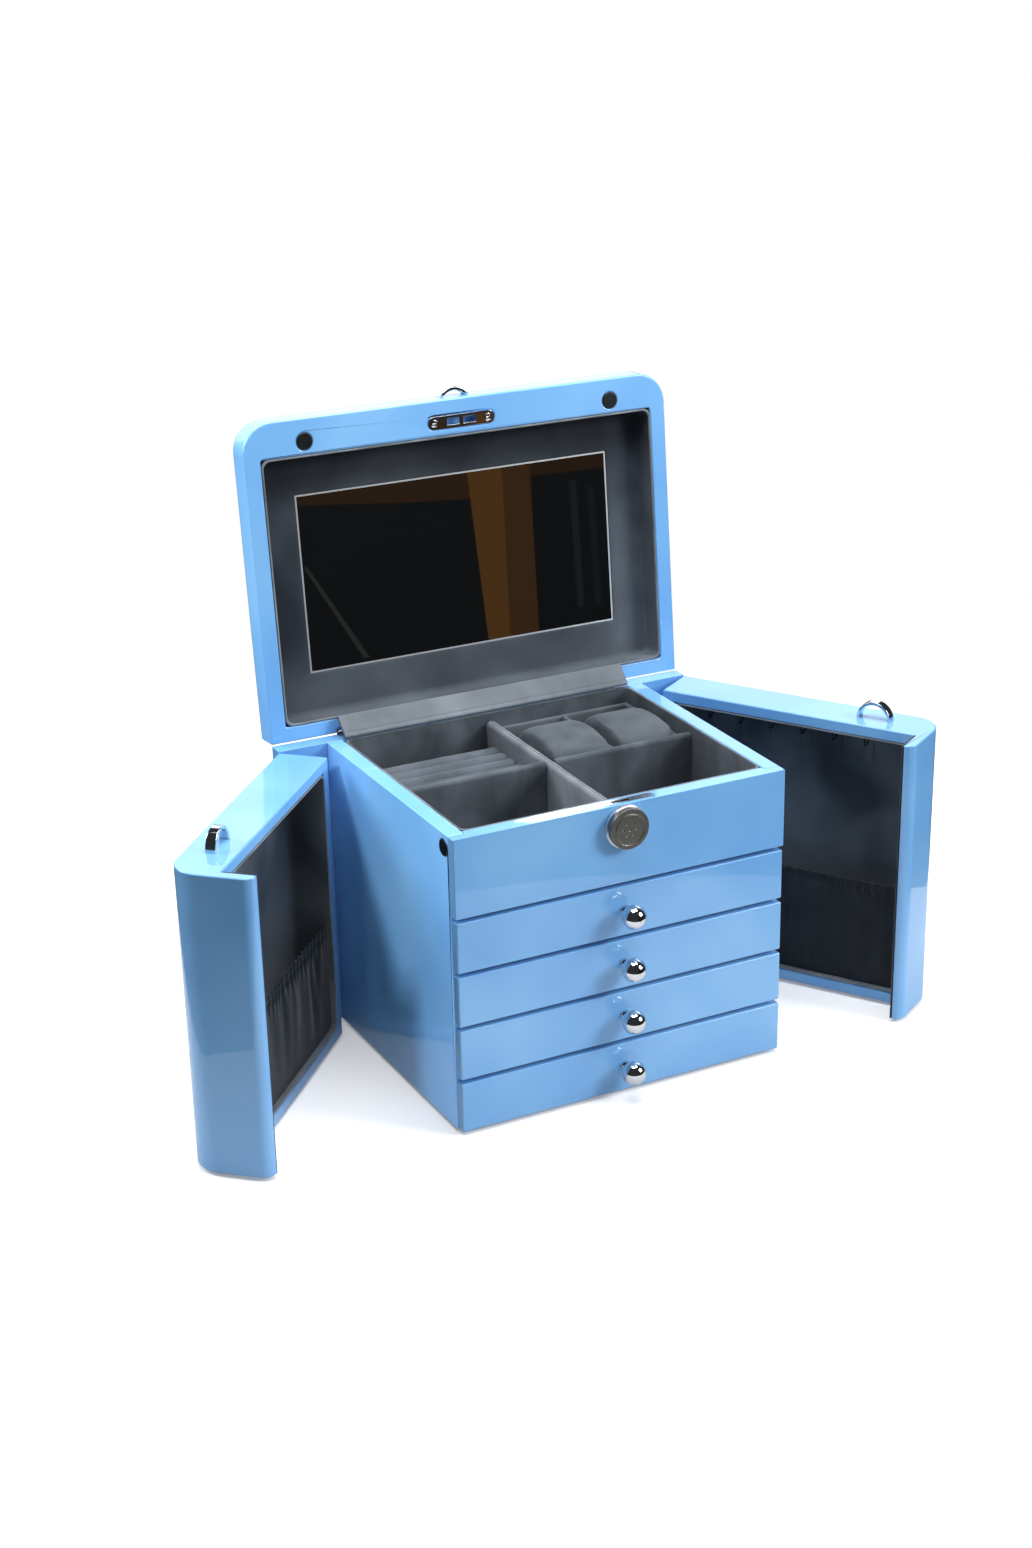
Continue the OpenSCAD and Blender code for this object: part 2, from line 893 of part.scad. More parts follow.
// Plan of the door: x runs from the outer face (0) inwards (negative), y to the front
module door_plan()
{
    y1 = -door_len - lip_t;
    lip_wood = lip_t - lip_velvet;
    translate([-door_t, y1 + door_r]) square([door_t, door_len + lip_t - door_r - hinge_gap / 2]);
    translate([-door_r, y1 + door_r])
        intersection()
        {
            circle(r = door_r, $fn = 96);
            translate([0, -door_r]) square([door_r, door_r]);
        }
    translate([-lip_reach + lip_tip_r, y1]) square([lip_reach - lip_tip_r - door_r, lip_wood]);
    translate([-door_t, y1]) square([door_t - door_r, door_r + 1]);
    translate([-lip_reach, y1 + lip_tip_r]) square([lip_tip_r + 1, lip_wood - lip_tip_r]);
    intersection()
    {
        translate([-lip_reach + lip_tip_r, y1 + lip_tip_r]) circle(r = lip_tip_r, $fn = 64);
        translate([-lip_reach, y1]) square([lip_tip_r + 0.5, lip_wood]);
    }
}

hollow_y0 = -door_len + door_front_in;
hollow_y1 = -9;
hollow_z0 = door_z0 + door_rim;
hollow_z1 = door_z1 - door_rim;

module door_shell()
{
    color("#7db2e6")
    difference()
    {
        translate([0, 0, door_z0]) linear_extrude(door_z1 - door_z0) door_plan();
        slab(-door_t - 1, -door_skin, hollow_y0, hollow_y1, hollow_z0, hollow_z1);
        door_hinge_notches(knuckle_clear);
        for (z = door_hinge_z)
        {
            slab(-leaf_w - knuckle_clear, 1, -leaf_t - hinge_gap / 2, 1, z - leaf_half - glue,
                 z + leaf_half + glue);
        }
    }
}

module door_lining()
{
    color("#454b52")
    difference()
    {
        slab(-door_t - 0.2, -door_skin - glue, hollow_y0 + glue, hollow_y1 - glue,
             hollow_z0 + glue, hollow_z1 - glue);
        slab(-door_t - 1, -door_skin - velvet_t, hollow_y0 + velvet_t, hollow_y1 - velvet_t,
             hollow_z0 + velvet_t, hollow_z1 - velvet_t);
    }
}

// Velvet glued to the back of the lip, where it meets the drawer faces
module lip_velvet_strip()
{
    color("#454b52")
    slab(-lip_reach, -door_t - glue, -door_len - lip_velvet + glue, -door_len, door_z0, door_z1);
}

pocket_top = z_base + 94;
pocket_t = 1.6;
module door_pocket()
{
    x0 = -door_t + 3.5;
    y0 = hollow_y0 + velvet_t + glue;
    y1 = hollow_y1 - velvet_t - glue;
    z0 = hollow_z0 + velvet_t + glue;
    color("#3a4047")
    {
        slab(x0, x0 + pocket_t, y0, y1, z0, pocket_top - 8);
        slab(x0 - 0.4, x0 + pocket_t + 0.4, y0, y1, pocket_top - 7.95, pocket_top);
    }
}

tabs = 6;
tab_w = 7;
tab_h = 25;
tab_t = 1;
tab_pitch = 25.5;
tab_first = 30;
tab_drop = 14;
hook_z = z_base + 192;
hook_reach = 12;
hook_rise = 4.5;
hook_bend = 0.8;
wire_r = 0.9;
module door_hooks()
{
    x0 = -door_skin - velvet_t - glue;
    x_tip = x0 - hook_reach + hook_bend;
    color("#6b5234")
    for (i = [0 : tabs - 1])
    {
        y = -tab_first - i * tab_pitch;
        slab(x0 - tab_t, x0, y - tab_w / 2, y + tab_w / 2, hook_z - tab_drop, hook_z - tab_drop + tab_h);
        rod_x(y, hook_z, wire_r, x0 - hook_reach, x0 - tab_t);
        rod_z(x_tip, y, wire_r, hook_z, hook_z + hook_rise);
    }
}

pull_u = 165;
pull_v = 18.5;
module door_pull()
{
    color("#d5dade")
    translate([-pull_v, -pull_u, door_z1]) arch();
}

module door_hinges()
{
    color("#c9ced3")
    for (z = door_hinge_z)
    {
        difference()
        {
            union()
            {
                slab(-leaf_w, -knuckle_r, -leaf_t - hinge_gap / 2 + glue, -hinge_gap / 2 - glue,
                     z - leaf_half, z + leaf_half);
                for (k = [-1, 1])
                {
                    translate([0, 0, z + k * knuckle_l]) knuckle();
                    slab(-knuckle_r - 0.5, 0, -leaf_t - hinge_gap / 2 + glue, -hinge_gap / 2 - glue,
                         z + k * knuckle_l - knuckle_h / 2, z + k * knuckle_l + knuckle_h / 2);
                }
            }
            rod_z(0, 0, pin_r + fit, z - 3 * knuckle_l, z + 3 * knuckle_l);
        }
    }
}

// ---- drawers, numbered from the bottom in these modules ----

module drawer_face(i)
{
    z = z_base + first_drop + i * drawer_pitch;
    color("#7db2e6")
    slab(-half_b + face_gap, half_b - face_gap, y_front, y_front + face_t - face_back, z, z + drawer_h);
}

module drawer_box(i)
{
    z = z_base + first_drop + i * drawer_pitch + box_lift;
    x = half_i - box_side_gap;
    y0 = y_front + face_t - face_back + glue;
    y1 = y0 + box_d;
    color("#a58f73")
    {
        slab(-x, x, y0, y1, z, z + box_floor);
        slab(-x, -x + box_wall, y0, y1, z + box_floor + glue, z + box_h);
        slab(x - box_wall, x, y0, y1, z + box_floor + glue, z + box_h);
        for (y = [y0, y1 - box_wall])
        {
            slab(-x + box_wall + glue, x - box_wall - glue, y, y + box_wall,
                 z + box_floor + glue, z + box_h);
        }
    }
}

module drawer_velvet(i)
{
    z = z_base + first_drop + i * drawer_pitch + box_lift + box_floor + 2 * glue;
    x = half_i - box_side_gap - box_wall - glue;
    y0 = y_front + face_t - face_back + box_wall + 2 * glue;
    y1 = y0 + box_d - 2 * box_wall - 2 * glue;
    color("#454b52")
    difference()
    {
        slab(-x, x, y0, y1, z, z + box_h - box_floor);
        slab(-x + drawer_velvet, x - drawer_velvet, y0 + drawer_velvet, y1 - drawer_velvet,
             z + drawer_velvet, z + box_h);
    }
}

knob_lift = 19;
knob_out = 13;
knob_back = 5.2;
knob_foot_r = 4.2;
knob_foot_t = 1.2;
knob_stem_r = 2.6;
module drawer_knob(i)
{
    z = z_base + first_drop + i * drawer_pitch + knob_lift;
    color("#d5dade")
    translate([0, y_front, z])
        rotate([90, 0, 0])
            rotate_extrude($fn = 72)
            {
                square([knob_foot_r, knob_foot_t]);
                square([knob_stem_r, knob_out]);
                intersection()
                {
                    translate([0, knob_out]) circle(r = knob_r, $fn = 72);
                    translate([0, knob_out - knob_back]) square([knob_r + 1, 2 * knob_r]);
                }
            }
}
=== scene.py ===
import json
import math
import random

import bmesh
import bpy
from mathutils import Matrix, Vector, noise


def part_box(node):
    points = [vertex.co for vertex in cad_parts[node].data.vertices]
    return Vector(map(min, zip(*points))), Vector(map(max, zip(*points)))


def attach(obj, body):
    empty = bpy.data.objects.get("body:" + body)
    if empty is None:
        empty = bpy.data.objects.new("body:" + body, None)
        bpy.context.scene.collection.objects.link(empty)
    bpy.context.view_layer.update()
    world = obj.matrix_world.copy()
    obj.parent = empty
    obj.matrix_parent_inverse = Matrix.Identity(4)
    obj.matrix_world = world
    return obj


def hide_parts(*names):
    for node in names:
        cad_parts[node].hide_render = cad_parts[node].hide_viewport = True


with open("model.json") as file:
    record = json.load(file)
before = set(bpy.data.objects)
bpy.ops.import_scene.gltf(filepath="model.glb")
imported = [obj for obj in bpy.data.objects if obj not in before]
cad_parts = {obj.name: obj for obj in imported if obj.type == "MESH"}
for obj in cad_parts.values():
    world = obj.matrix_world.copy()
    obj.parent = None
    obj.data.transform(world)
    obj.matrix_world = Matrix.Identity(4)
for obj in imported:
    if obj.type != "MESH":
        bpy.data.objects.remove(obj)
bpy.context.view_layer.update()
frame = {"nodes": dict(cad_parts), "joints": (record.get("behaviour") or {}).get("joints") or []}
NODES = frame["nodes"]
JOINTS = {j["name"]: j for j in frame["joints"]}
scene = bpy.context.scene
MM = 0.001

# ---- frames of the moving parts, whose shut pose is square to the axes ----


def shut_to_rest(joint):
    """The matrix that carries a hinged part from its shut pose to the pose it rests in."""
    j = JOINTS[joint]
    place = Matrix.Translation(Vector(j["pos_m"]))
    turn = Matrix.Rotation(math.radians(-j["range_deg"][0]), 4, Vector(j["axis"]))
    return place @ turn @ place.inverted()


def box_in(node, matrix):
    """(low, high) of a CAD node in the frame that matrix carries to the row frame."""
    back = matrix.inverted()
    points = [back @ v.co for v in NODES[node].data.vertices]
    low = Vector([min(p[k] for p in points) for k in range(3)])
    high = Vector([max(p[k] for p in points) for k in range(3)])
    return low, high


SQUARE = Matrix.Identity(4)
LID = shut_to_rest("lid_hinge")
DOORS = {s: shut_to_rest(s + "_door_hinge") for s in ("left", "right")}


# ---- camera ----

SENSOR = (24, 36)
LENS_MM = 62.2256
SHIFT = (-0.105103, 0.123385)
CAMERA_AT = (-0.8114, -1.5627, 0.9048)
YAW, PITCH, ROLL = math.radians(30.42), math.radians(25.77), math.radians(0.39)


def make_camera():
    data = bpy.data.cameras.new("camera")
    data.sensor_fit = "VERTICAL"
    data.sensor_width, data.sensor_height = SENSOR
    data.lens = LENS_MM
    data.shift_x, data.shift_y = SHIFT
    data.clip_start, data.clip_end = 0.05, 50
    cam = bpy.data.objects.new("camera", data)
    scene.collection.objects.link(cam)
    ahead = Vector((math.sin(YAW) * math.cos(PITCH), math.cos(YAW) * math.cos(PITCH), -math.sin(PITCH)))
    right = Vector((math.cos(YAW), -math.sin(YAW), 0))
    up = right.cross(ahead)
    turn = Matrix((right, up, -ahead)).transposed().to_4x4() @ Matrix.Rotation(ROLL, 4, "Z")
    cam.matrix_world = Matrix.Translation(CAMERA_AT) @ turn
    scene.camera = cam


# ---- materials ----


class Nodes:
    """A short way to write a material's node tree."""

    def __init__(self, name, **sockets):
        self.mat = bpy.data.materials.new(name)
        self.mat.use_nodes = True
        self.tree = self.mat.node_tree
        self.shader = self.tree.nodes["Principled BSDF"]
        for key, value in sockets.items():
            self.shader.inputs[key.replace("_", " ")].default_value = value
        self.place = self.add("ShaderNodeTexCoord").outputs["Object"]

    def add(self, kind, inputs=None, **props):
        n = self.tree.nodes.new(kind)
        for key, value in props.items():
            setattr(n, key, value)
        for key, value in (inputs or {}).items():
            if isinstance(value, bpy.types.NodeSocket):
                self.tree.links.new(value, n.inputs[key])
            else:
                n.inputs[key].default_value = value
        return n

    def stretched(self, scale, turn=(0, 0, 0)):
        inputs = {"Vector": self.place, "Scale": scale, "Rotation": turn}
        return self.add("ShaderNodeMapping", inputs).outputs[0]

    def noise(self, scale, detail=3.0, rough=0.5, warp=0.0, place=None):
        inputs = {"Vector": place or self.place, "Scale": scale, "Detail": detail,
                  "Roughness": rough, "Distortion": warp}
        return self.add("ShaderNodeTexNoise", inputs).outputs["Fac"]

    def ramp(self, fac, *stops):
        n = self.add("ShaderNodeValToRGB", {"Fac": fac})
        while len(n.color_ramp.elements) < len(stops):
            n.color_ramp.elements.new(0.5)
        for e, (at, value) in zip(n.color_ramp.elements, stops):
            e.position = at
            e.color = (value, value, value, 1) if isinstance(value, float) else (*value, 1)
        return n.outputs["Color"]

    def mix(self, fac, a, b, blend="MIX"):
        n = self.add("ShaderNodeMix", data_type="RGBA", blend_type=blend)
        for i, value in ((0, fac), (6, a), (7, b)):
            if isinstance(value, bpy.types.NodeSocket):
                self.tree.links.new(value, n.inputs[i])
            else:
                n.inputs[i].default_value = value if i == 0 else (*value, 1)
        return n.outputs[2]

    def fit(self, fac, low, high):
        return self.add("ShaderNodeMapRange", {"Value": fac, "To Min": low, "To Max": high}).outputs[0]

    def colour(self, socket):
        self.tree.links.new(socket, self.shader.inputs["Base Color"])

    def rough(self, socket):
        self.tree.links.new(socket, self.shader.inputs["Roughness"])

    def bump(self, *layers):
        """layers are (height, depth in metres), from coarse to fine."""
        normal = None
        for height, depth in layers:
            inputs = {"Height": height, "Distance": depth, "Strength": 1.0}
            if normal:
                inputs["Normal"] = normal
            normal = self.add("ShaderNodeBump", inputs).outputs[0]
        self.tree.links.new(normal, self.shader.inputs["Normal"])
        return self.mat


def srgb(text):
    """A linear colour from an sRGB hex string."""
    parts = [int(text[i:i + 2], 16) / 255 for i in (0, 2, 4)]
    return tuple(c / 12.92 if c <= 0.04045 else ((c + 0.055) / 1.055) ** 2.4 for c in parts)


# the lock's disc is this thick, and the mirror's glass leans back by this slope
DISC_T = 4.3 * MM
MIRROR_LEAN = 0.006


def lacquer():
    n = Nodes("lacquer", Coat_Weight=1.0, Coat_Roughness=0.025, Coat_IOR=1.5,
              Specular_IOR_Level=0.35)
    base, deep, pale = srgb("78B4EC"), srgb("6FACE7"), srgb("82BCEF")
    cloud = n.ramp(n.noise(9, 2), (0.35, deep), (0.5, base), (0.65, pale))
    n.colour(cloud)
    n.rough(n.fit(n.noise(28, 2), 0.33, 0.38))
    return n.bump((n.noise(14, 1), 0.00003))


def velvet(name, dark, pale, sheen=0.3, patch=13.0, stroke=(34, 34, 14), painted_shading=()):
    """Brushed velvet: soft nap marks where the pile lies the other way, over a fine fibre grain.

    The last argument lists (axis, from, to, share): along the axis the cloth's brightness goes from 1 to
    share. This is painted shade where share is below 1 and painted light where it is above 1.
    """
    n = Nodes(name, Sheen_Weight=sheen, Sheen_Roughness=0.45, Specular_IOR_Level=0.12)
    n.shader.inputs["Sheen Tint"].default_value = (*srgb("C9D2DC"), 1)
    patches = n.ramp(n.noise(patch, 2, 0.5, 0.8), (0.34, 0.0), (0.66, 1.0))
    strokes = n.ramp(n.noise(1.0, 2, 0.5, 0.6, n.stretched(stroke, (0.5, 0.3, 0.7))),
                     (0.36, 0.0), (0.66, 1.0))
    nap = n.mix(0.4, patches, strokes)
    colour = n.mix(nap, dark, pale)
    # painted light and shade: the colour is scaled by position along an axis
    for axis, start, stop, share in painted_shading:
        place = n.add("ShaderNodeSeparateXYZ", {"Vector": n.place}).outputs[axis]
        inputs = {"Value": place, "From Min": start, "From Max": stop, "To Min": 1.0, "To Max": share}
        colour = n.mix(1.0, colour, n.add("ShaderNodeMapRange", inputs).outputs[0], "MULTIPLY")
    fibre = n.noise(1900, 2, 0.7)
    n.colour(n.mix(0.35, colour, n.ramp(fibre, (0.3, 0.45), (0.7, 1.0)), "MULTIPLY"))
    n.rough(n.fit(nap, 0.95, 0.78))
    return n.bump((patches, 0.00005), (fibre, 0.00018))


def satin(name, dark, pale):
    """The pockets' thin gathered cloth: a fine weave that shines along the folds."""
    n = Nodes(name, Sheen_Weight=0.15, Sheen_Roughness=0.4, Specular_IOR_Level=0.25)
    weave_a = n.add("ShaderNodeTexWave", {"Vector": n.place, "Scale": 2600.0, "Distortion": 1.0},
                    bands_direction="Z").outputs["Fac"]
    weave_b = n.add("ShaderNodeTexWave", {"Vector": n.place, "Scale": 2600.0, "Distortion": 1.0},
                    bands_direction="Y").outputs["Fac"]
    weave = n.mix(0.5, weave_a, weave_b)
    tone = n.mix(n.noise(40, 3, 0.5, 0.8), dark, pale)
    n.colour(n.mix(0.25, tone, weave, "MULTIPLY"))
    n.rough(n.fit(n.noise(60), 0.55, 0.72))
    return n.bump((weave, 0.00002))


def chrome(name, tint, rough=(0.03, 0.10)):
    n = Nodes(name, Metallic=1.0)
    n.colour(n.mix(n.noise(30, 3), tint, tuple(c * 0.92 for c in tint)))
    wipe = n.noise(1.0, 5, 0.7, 0.2, n.stretched((900, 60, 900), (0.2, 0.6, 0.1)))
    n.rough(n.fit(wipe, *rough))
    return n.bump((wipe, 0.0000006), (n.noise(40, 1), 0.000006))


def mirror_glass():
    n = Nodes("mirror", Metallic=1.0)
    smudge = n.noise(16, 5, 0.6, 0.6)
    n.colour(n.mix(smudge, srgb("C4C8CC"), srgb("BABEC3")))
    n.rough(n.fit(n.ramp(smudge, (0.45, 0.0), (0.75, 1.0)), 0.01, 0.03))
    height = n.add("ShaderNodeSeparateXYZ", {"Vector": n.place}).outputs["Z"]
    lean = n.add("ShaderNodeMath", {0: height, 1: -MIRROR_LEAN}, operation="MULTIPLY").outputs[0]
    return n.bump((lean, 1.0), (n.noise(5, 1), 0.00001))


def board():
    n = Nodes("board", Specular_IOR_Level=0.3)
    grain = n.noise(1.0, 6, 0.65, 1.1, n.stretched((6, 160, 160)))
    rings = n.noise(1.0, 2, 0.5, 2.0, n.stretched((3, 40, 40)))
    tone = n.ramp(grain, (0.3, srgb("8A6A45")), (0.55, srgb("B4936A")), (0.8, srgb("C9AC84")))
    n.colour(n.mix(0.35, tone, n.ramp(rings, (0.4, srgb("A5845B")), (0.6, srgb("D0B48C")))))
    n.rough(n.fit(grain, 0.75, 0.5))
    return n.bump((grain, 0.00015), (n.noise(900), 0.00003))


def felt():
    n = Nodes("felt", Sheen_Weight=0.25, Sheen_Roughness=0.6, Specular_IOR_Level=0.1)
    wool = n.noise(650, 5, 0.75, 1.5)
    n.colour(n.ramp(wool, (0.3, srgb("101317")), (0.7, srgb("2E343B"))))
    n.rough(n.fit(wool, 1.0, 0.85))
    return n.bump((n.noise(90), 0.0001), (wool, 0.0003))


def rubber():
    n = Nodes("rubber", Specular_IOR_Level=0.5)
    grain = n.noise(1400, 2)
    n.colour(n.ramp(grain, (0.3, srgb("050608")), (0.7, srgb("0D0F12"))))
    n.rough(n.fit(n.noise(120), 0.25, 0.45))
    return n.bump((grain, 0.00002))


def bronze():
    n = Nodes("hook_brass", Metallic=1.0)
    age = n.noise(260, 4, 0.6)
    n.colour(n.ramp(age, (0.35, srgb("2C2A28")), (0.65, srgb("4A4640"))))
    n.rough(n.fit(age, 0.7, 0.5))
    return n.bump((age, 0.00003))


def medallion():
    """The round lock turn: a bright ring behind a darker disc, grained by brushing."""
    n = Nodes("medallion", Metallic=1.0)
    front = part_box("lock_knob")[0].y + DISC_T
    depth = n.add("ShaderNodeSeparateXYZ", {"Vector": n.place}).outputs["Y"]
    disc = n.add("ShaderNodeMath", {0: depth, 1: front}, operation="LESS_THAN").outputs[0]
    wipe = n.noise(1.0, 4, 0.7, 0.2, n.stretched((60, 700, 900), (0.0, 0.5, 0.0)))
    n.colour(n.mix(disc, srgb("F4F6F8"), n.mix(wipe, srgb("82827E"), srgb("92918B"))))
    n.rough(n.mix(disc, (0.3, 0.3, 0.3), n.ramp(wipe, (0.3, 0.34), (0.7, 0.42))))
    return n.bump((wipe, 0.0000004))


# These are copies of one grey velvet, each set as light or dark as the light its part gets: painted light
# and shade. The flap's and the long divider's are the lightest, painted light for their upturned tops, and
# the lid's is the darkest.
VELVET = velvet("velvet", srgb("363C43"), srgb("575E66"))
# a lighter copy of the velvet for the linings' rolled rims: a painted highlight where light catches the rim
VELVET_RIM_HIGHLIGHT = velvet("velvet_edge", srgb("5D646B"), srgb("8C949B"), patch=30)
VELVET_LIT_PILLOW_TRAY = velvet("velvet_pale", srgb("4C535A"), srgb("6A7179"), sheen=0.35, patch=18)
VELVET_TRAY = velvet("velvet_tray", srgb("3E454C"), srgb("69717A"), patch=20)
VELVET_CUSHION = velvet("velvet_cushion", srgb("454C53"), srgb("5F666E"), patch=24)
VELVET_FLAP = velvet("velvet_flap", srgb("636A72"), srgb("838A92"), sheen=0.4, patch=14)
VELVET_DOOR = velvet("velvet_door", srgb("363C42"), srgb("757B81"), patch=9, stroke=(12, 12, 8))
# the lid's lining: painted shade along its top strip, under the lid's rim, and painted light along its right
# strip
VELVET_LID = velvet("velvet_lid", srgb("262C34"), srgb("5C646D"), patch=8, stroke=(12, 22, 8),
                    painted_shading=(("Z", 0.375, 0.40, 0.4), ("X", 0.115, 0.145, 1.8)))
VELVET_LIT_DIVIDER = velvet("velvet_bright", srgb("6C737B"), srgb("949BA3"), sheen=0.4, patch=20)
SATIN = satin("satin", srgb("12171C"), srgb("272D34"))
LACQUER = lacquer()
CHROME = chrome("chrome", srgb("E4E8EC"))
STEEL = chrome("steel", srgb("B9BEC4"), (0.18, 0.32))
MEDALLION = medallion()
MIRROR_EDGE = chrome("mirror_edge", srgb("E6EAEE"), (0.4, 0.55))
FINISH = {"lacquer": LACQUER, "board": board(), "velvet": VELVET, "felt": felt(), "chrome": CHROME,
          "steel": STEEL, "mirror": mirror_glass(), "mirror_edge": MIRROR_EDGE, "rubber": rubber(),
          "hook_brass": bronze()}


# ---- CAD parts that stay: better materials and small rounded edges ----

OWN_FINISH = {"lock_knob": MEDALLION, "lock_plate": chrome("plate", srgb("DDE1E5"), (0.16, 0.3))}
EDGES = {"lacquer": 1.1, "board": 0.5, "chrome": 0.35, "rubber": 0.4, "steel": 0.0, "mirror": 0.0,
         "mirror_edge": 0.0}
OWN_EDGE = {"lid_shell": 1.4, "front_rail": 0.9, "side_left": 0.9, "side_right": 0.9,
            "back_board": 0.3, "lock_plate": 0.0, "strike_plate": 0.25, "lock_knob": 0.3}


def dress_cad():
    for name, o in NODES.items():
        slot = o.data.materials[0].name.split(".")[0]
        for i in range(len(o.data.materials)):
            o.data.materials[i] = OWN_FINISH.get(name, FINISH[slot])
        width = OWN_EDGE.get(name, EDGES.get(slot, 0.0))
        turned = name.endswith("knob") and name != "lock_knob"
        if width == 0 or turned:
            continue
        weld = o.modifiers.new("weld", "WELD")
        weld.merge_threshold = 0.00001
        flat = o.modifiers.new("flat", "DECIMATE")
        flat.decimate_type = "DISSOLVE"
        flat.angle_limit = math.radians(0.5)
        edge = o.modifiers.new("edge", "BEVEL")
        edge.width = width * MM
        edge.segments = 3
        edge.limit_method = "ANGLE"
        edge.angle_limit = math.radians(40)
        edge.use_clamp_overlap = False
        edge.miter_outer = "MITER_SHARP" if name.endswith("_door") else "MITER_ARC"
        normals = o.modifiers.new("normals", "WEIGHTED_NORMAL")
        normals.keep_sharp = False
        normals.weight = 90


# ---- meshes ----


def piece(name, bm, mats, body, stands_for=(), matrix=SQUARE):
    """A finished mesh object from bm, in place, riding on its body."""
    bm.transform(matrix)
    bmesh.ops.recalc_face_normals(bm, faces=bm.faces)
    mesh = bpy.data.meshes.new(name)
    bm.to_mesh(mesh)
    bm.free()
    for mat in mats:
        mesh.materials.append(mat)
    mesh.shade_smooth()
    o = bpy.data.objects.new(name, mesh)
    scene.collection.objects.link(o)
    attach(o, body)
    if stands_for:
        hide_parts(*stands_for)
    return o


def rounded_ring(x0, x1, y0, y1, r, z, corner=5, side=18):
    """Points round a rounded rectangle at height z, the same number for every size."""
    r = max(r, 1e-5)
    ends = [(x0 + r, y0 + r, 180), (x1 - r, y0 + r, 270), (x1 - r, y1 - r, 0), (x0 + r, y1 - r, 90)]
    points = []
    for k, (cx, cy, a0) in enumerate(ends):
        for i in range(corner + 1):
            a = math.radians(a0 + 90 * i / corner)
            points.append(Vector((cx + r * math.cos(a), cy + r * math.sin(a), z)))
        nx, ny, a1 = ends[(k + 1) % 4]
        a1 = math.radians(a1)
        goal = Vector((nx + r * math.cos(a1), ny + r * math.sin(a1), z))
        start = points[-1].copy()
        points += [start.lerp(goal, i / side) for i in range(1, side)]
    return points


def skin(bm, rings, closed=False, cap=(True, True), mat=None):
    """Quads between rings of equal length, with the two ends filled or the last joined to the first."""
    rows = [[bm.verts.new(p) for p in ring] for ring in rings]
    pairs = list(zip(rows, rows[1:])) + ([(rows[-1], rows[0])] if closed else [])
    for k, (a, b) in enumerate(pairs):
        for i in range(len(a)):
            j = (i + 1) % len(a)
            f = bm.faces.new((a[i], a[j], b[j], b[i]))
            f.material_index = mat(k) if mat else 0
    if not closed:
        for row, wanted in ((rows[0], cap[0]), (rows[-1], cap[1])):
            if wanted:
                bm.faces.new(row)
    return rows


def ripple(rows, depth, scale, seed):
    """Small swells in cloth: moves the vertices of rows along their normals."""
    shift = Vector((seed * 3.7, seed * 1.3, seed * 7.1))
    for row in rows:
        for v in row:
            v.co += v.normal * depth * (0.5 + 0.5 * noise.noise((v.co + shift) * scale))


def tub(name, low, high, body, matrix, node, thick, corner=2.5, hole=None, swell=0.0004, seed=1,
        cloth=None):
    """A velvet lining that covers a recess: floor, walls and a rolled rim.

    Local z runs from the floor to the rim.
    """
    x0, y0, z0 = low
    x1, y1, z1 = high
    fillet = 3.0 * MM
    rings = []

    def ring(inset, z, r):
        rings.append(rounded_ring(x0 + inset, x1 - inset, y0 + inset, y1 - inset, r, z))

    floor = z0 + thick
    if hole:
        hx0, hx1, hy0, hy1 = hole
        for out, z in ((0.0, z0 + 0.0002), (0.0, floor - 0.0008), (0.0003, floor - 0.0002), (0.0012, floor)):
            rings.append(rounded_ring(hx0 - out, hx1 + out, hy0 - out, hy1 + out, 0.0004 + out, z))
        inner = rounded_ring(hx0 - 0.0012, hx1 + 0.0012, hy0 - 0.0012, hy1 + 0.0012, 0.0016, floor)
    else:
        cx, cy = (x0 + x1) / 2, (y0 + y1) / 2
        half = 0.12 * (x1 - x0), 0.12 * (y1 - y0)
        inner = rounded_ring(cx - half[0], cx + half[0], cy - half[1], cy + half[1], 0.002, floor)
        rings.append(inner)
    inset = thick + fillet
    outer = rounded_ring(x0 + inset, x1 - inset, y0 + inset, y1 - inset, corner * MM, floor)
    for k in range(1, 10):
        rings.append([a.lerp(b, k / 10) for a, b in zip(inner, outer)])
    for k in range(6):
        a = math.radians(18 * k)
        ring(inset - fillet * math.sin(a), floor + fillet * (1 - math.cos(a)),
             corner * MM + fillet * math.sin(a))
    r_wall = corner * MM + fillet
    wall_top = z1 - thick / 2
    for k in range(1, 7):
        ring(thick, floor + fillet + (wall_top - floor - fillet) * k / 6, r_wall)
    rim = len(rings) - 1
    for a in (30, 60, 90, 120, 150, 180):
        a = math.radians(a)
        inset = thick / 2 * (1 + math.cos(a))
        ring(inset, wall_top + thick / 2 * math.sin(a), r_wall)
    back = len(rings) - 1
    ring(0, z0, r_wall)
    if hole:
        rings.append(rounded_ring(hx0, hx1, hy0, hy1, 0.0004, z0))
    bm = bmesh.new()
    # the rolled rim's faces take the second material, the painted highlight
    rows = skin(bm, rings, closed=bool(hole), mat=lambda k: 1 if rim <= k < back else 0)
    bmesh.ops.recalc_face_normals(bm, faces=bm.faces)
    bm.normal_update()
    ripple(rows[(4 if hole else 1):rim], swell, 22, seed)
    o = piece(name, bm, [cloth or VELVET, VELVET_RIM_HIGHLIGHT], body, [node], matrix=matrix)
    return o


def loft(bm, profile, along, inset, turn):
    """A closed profile (u, v) carried along a line, drawn in at its two ends by inset(t)."""
    cu = sum(p[0] for p in profile) / len(profile)
    cv = sum(p[1] for p in profile) / len(profile)
    rings = []
    for s, pull in zip(along, inset):
        ring = []
        for u, v in profile:
            d = Vector((u - cu, v - cv))
            d = d * max(0.02, 1 - pull / max(d.length, 1e-6))
            ring.append(turn(s, cu + d.x, cv + d.y))
        rings.append(ring)
    return skin(bm, rings)


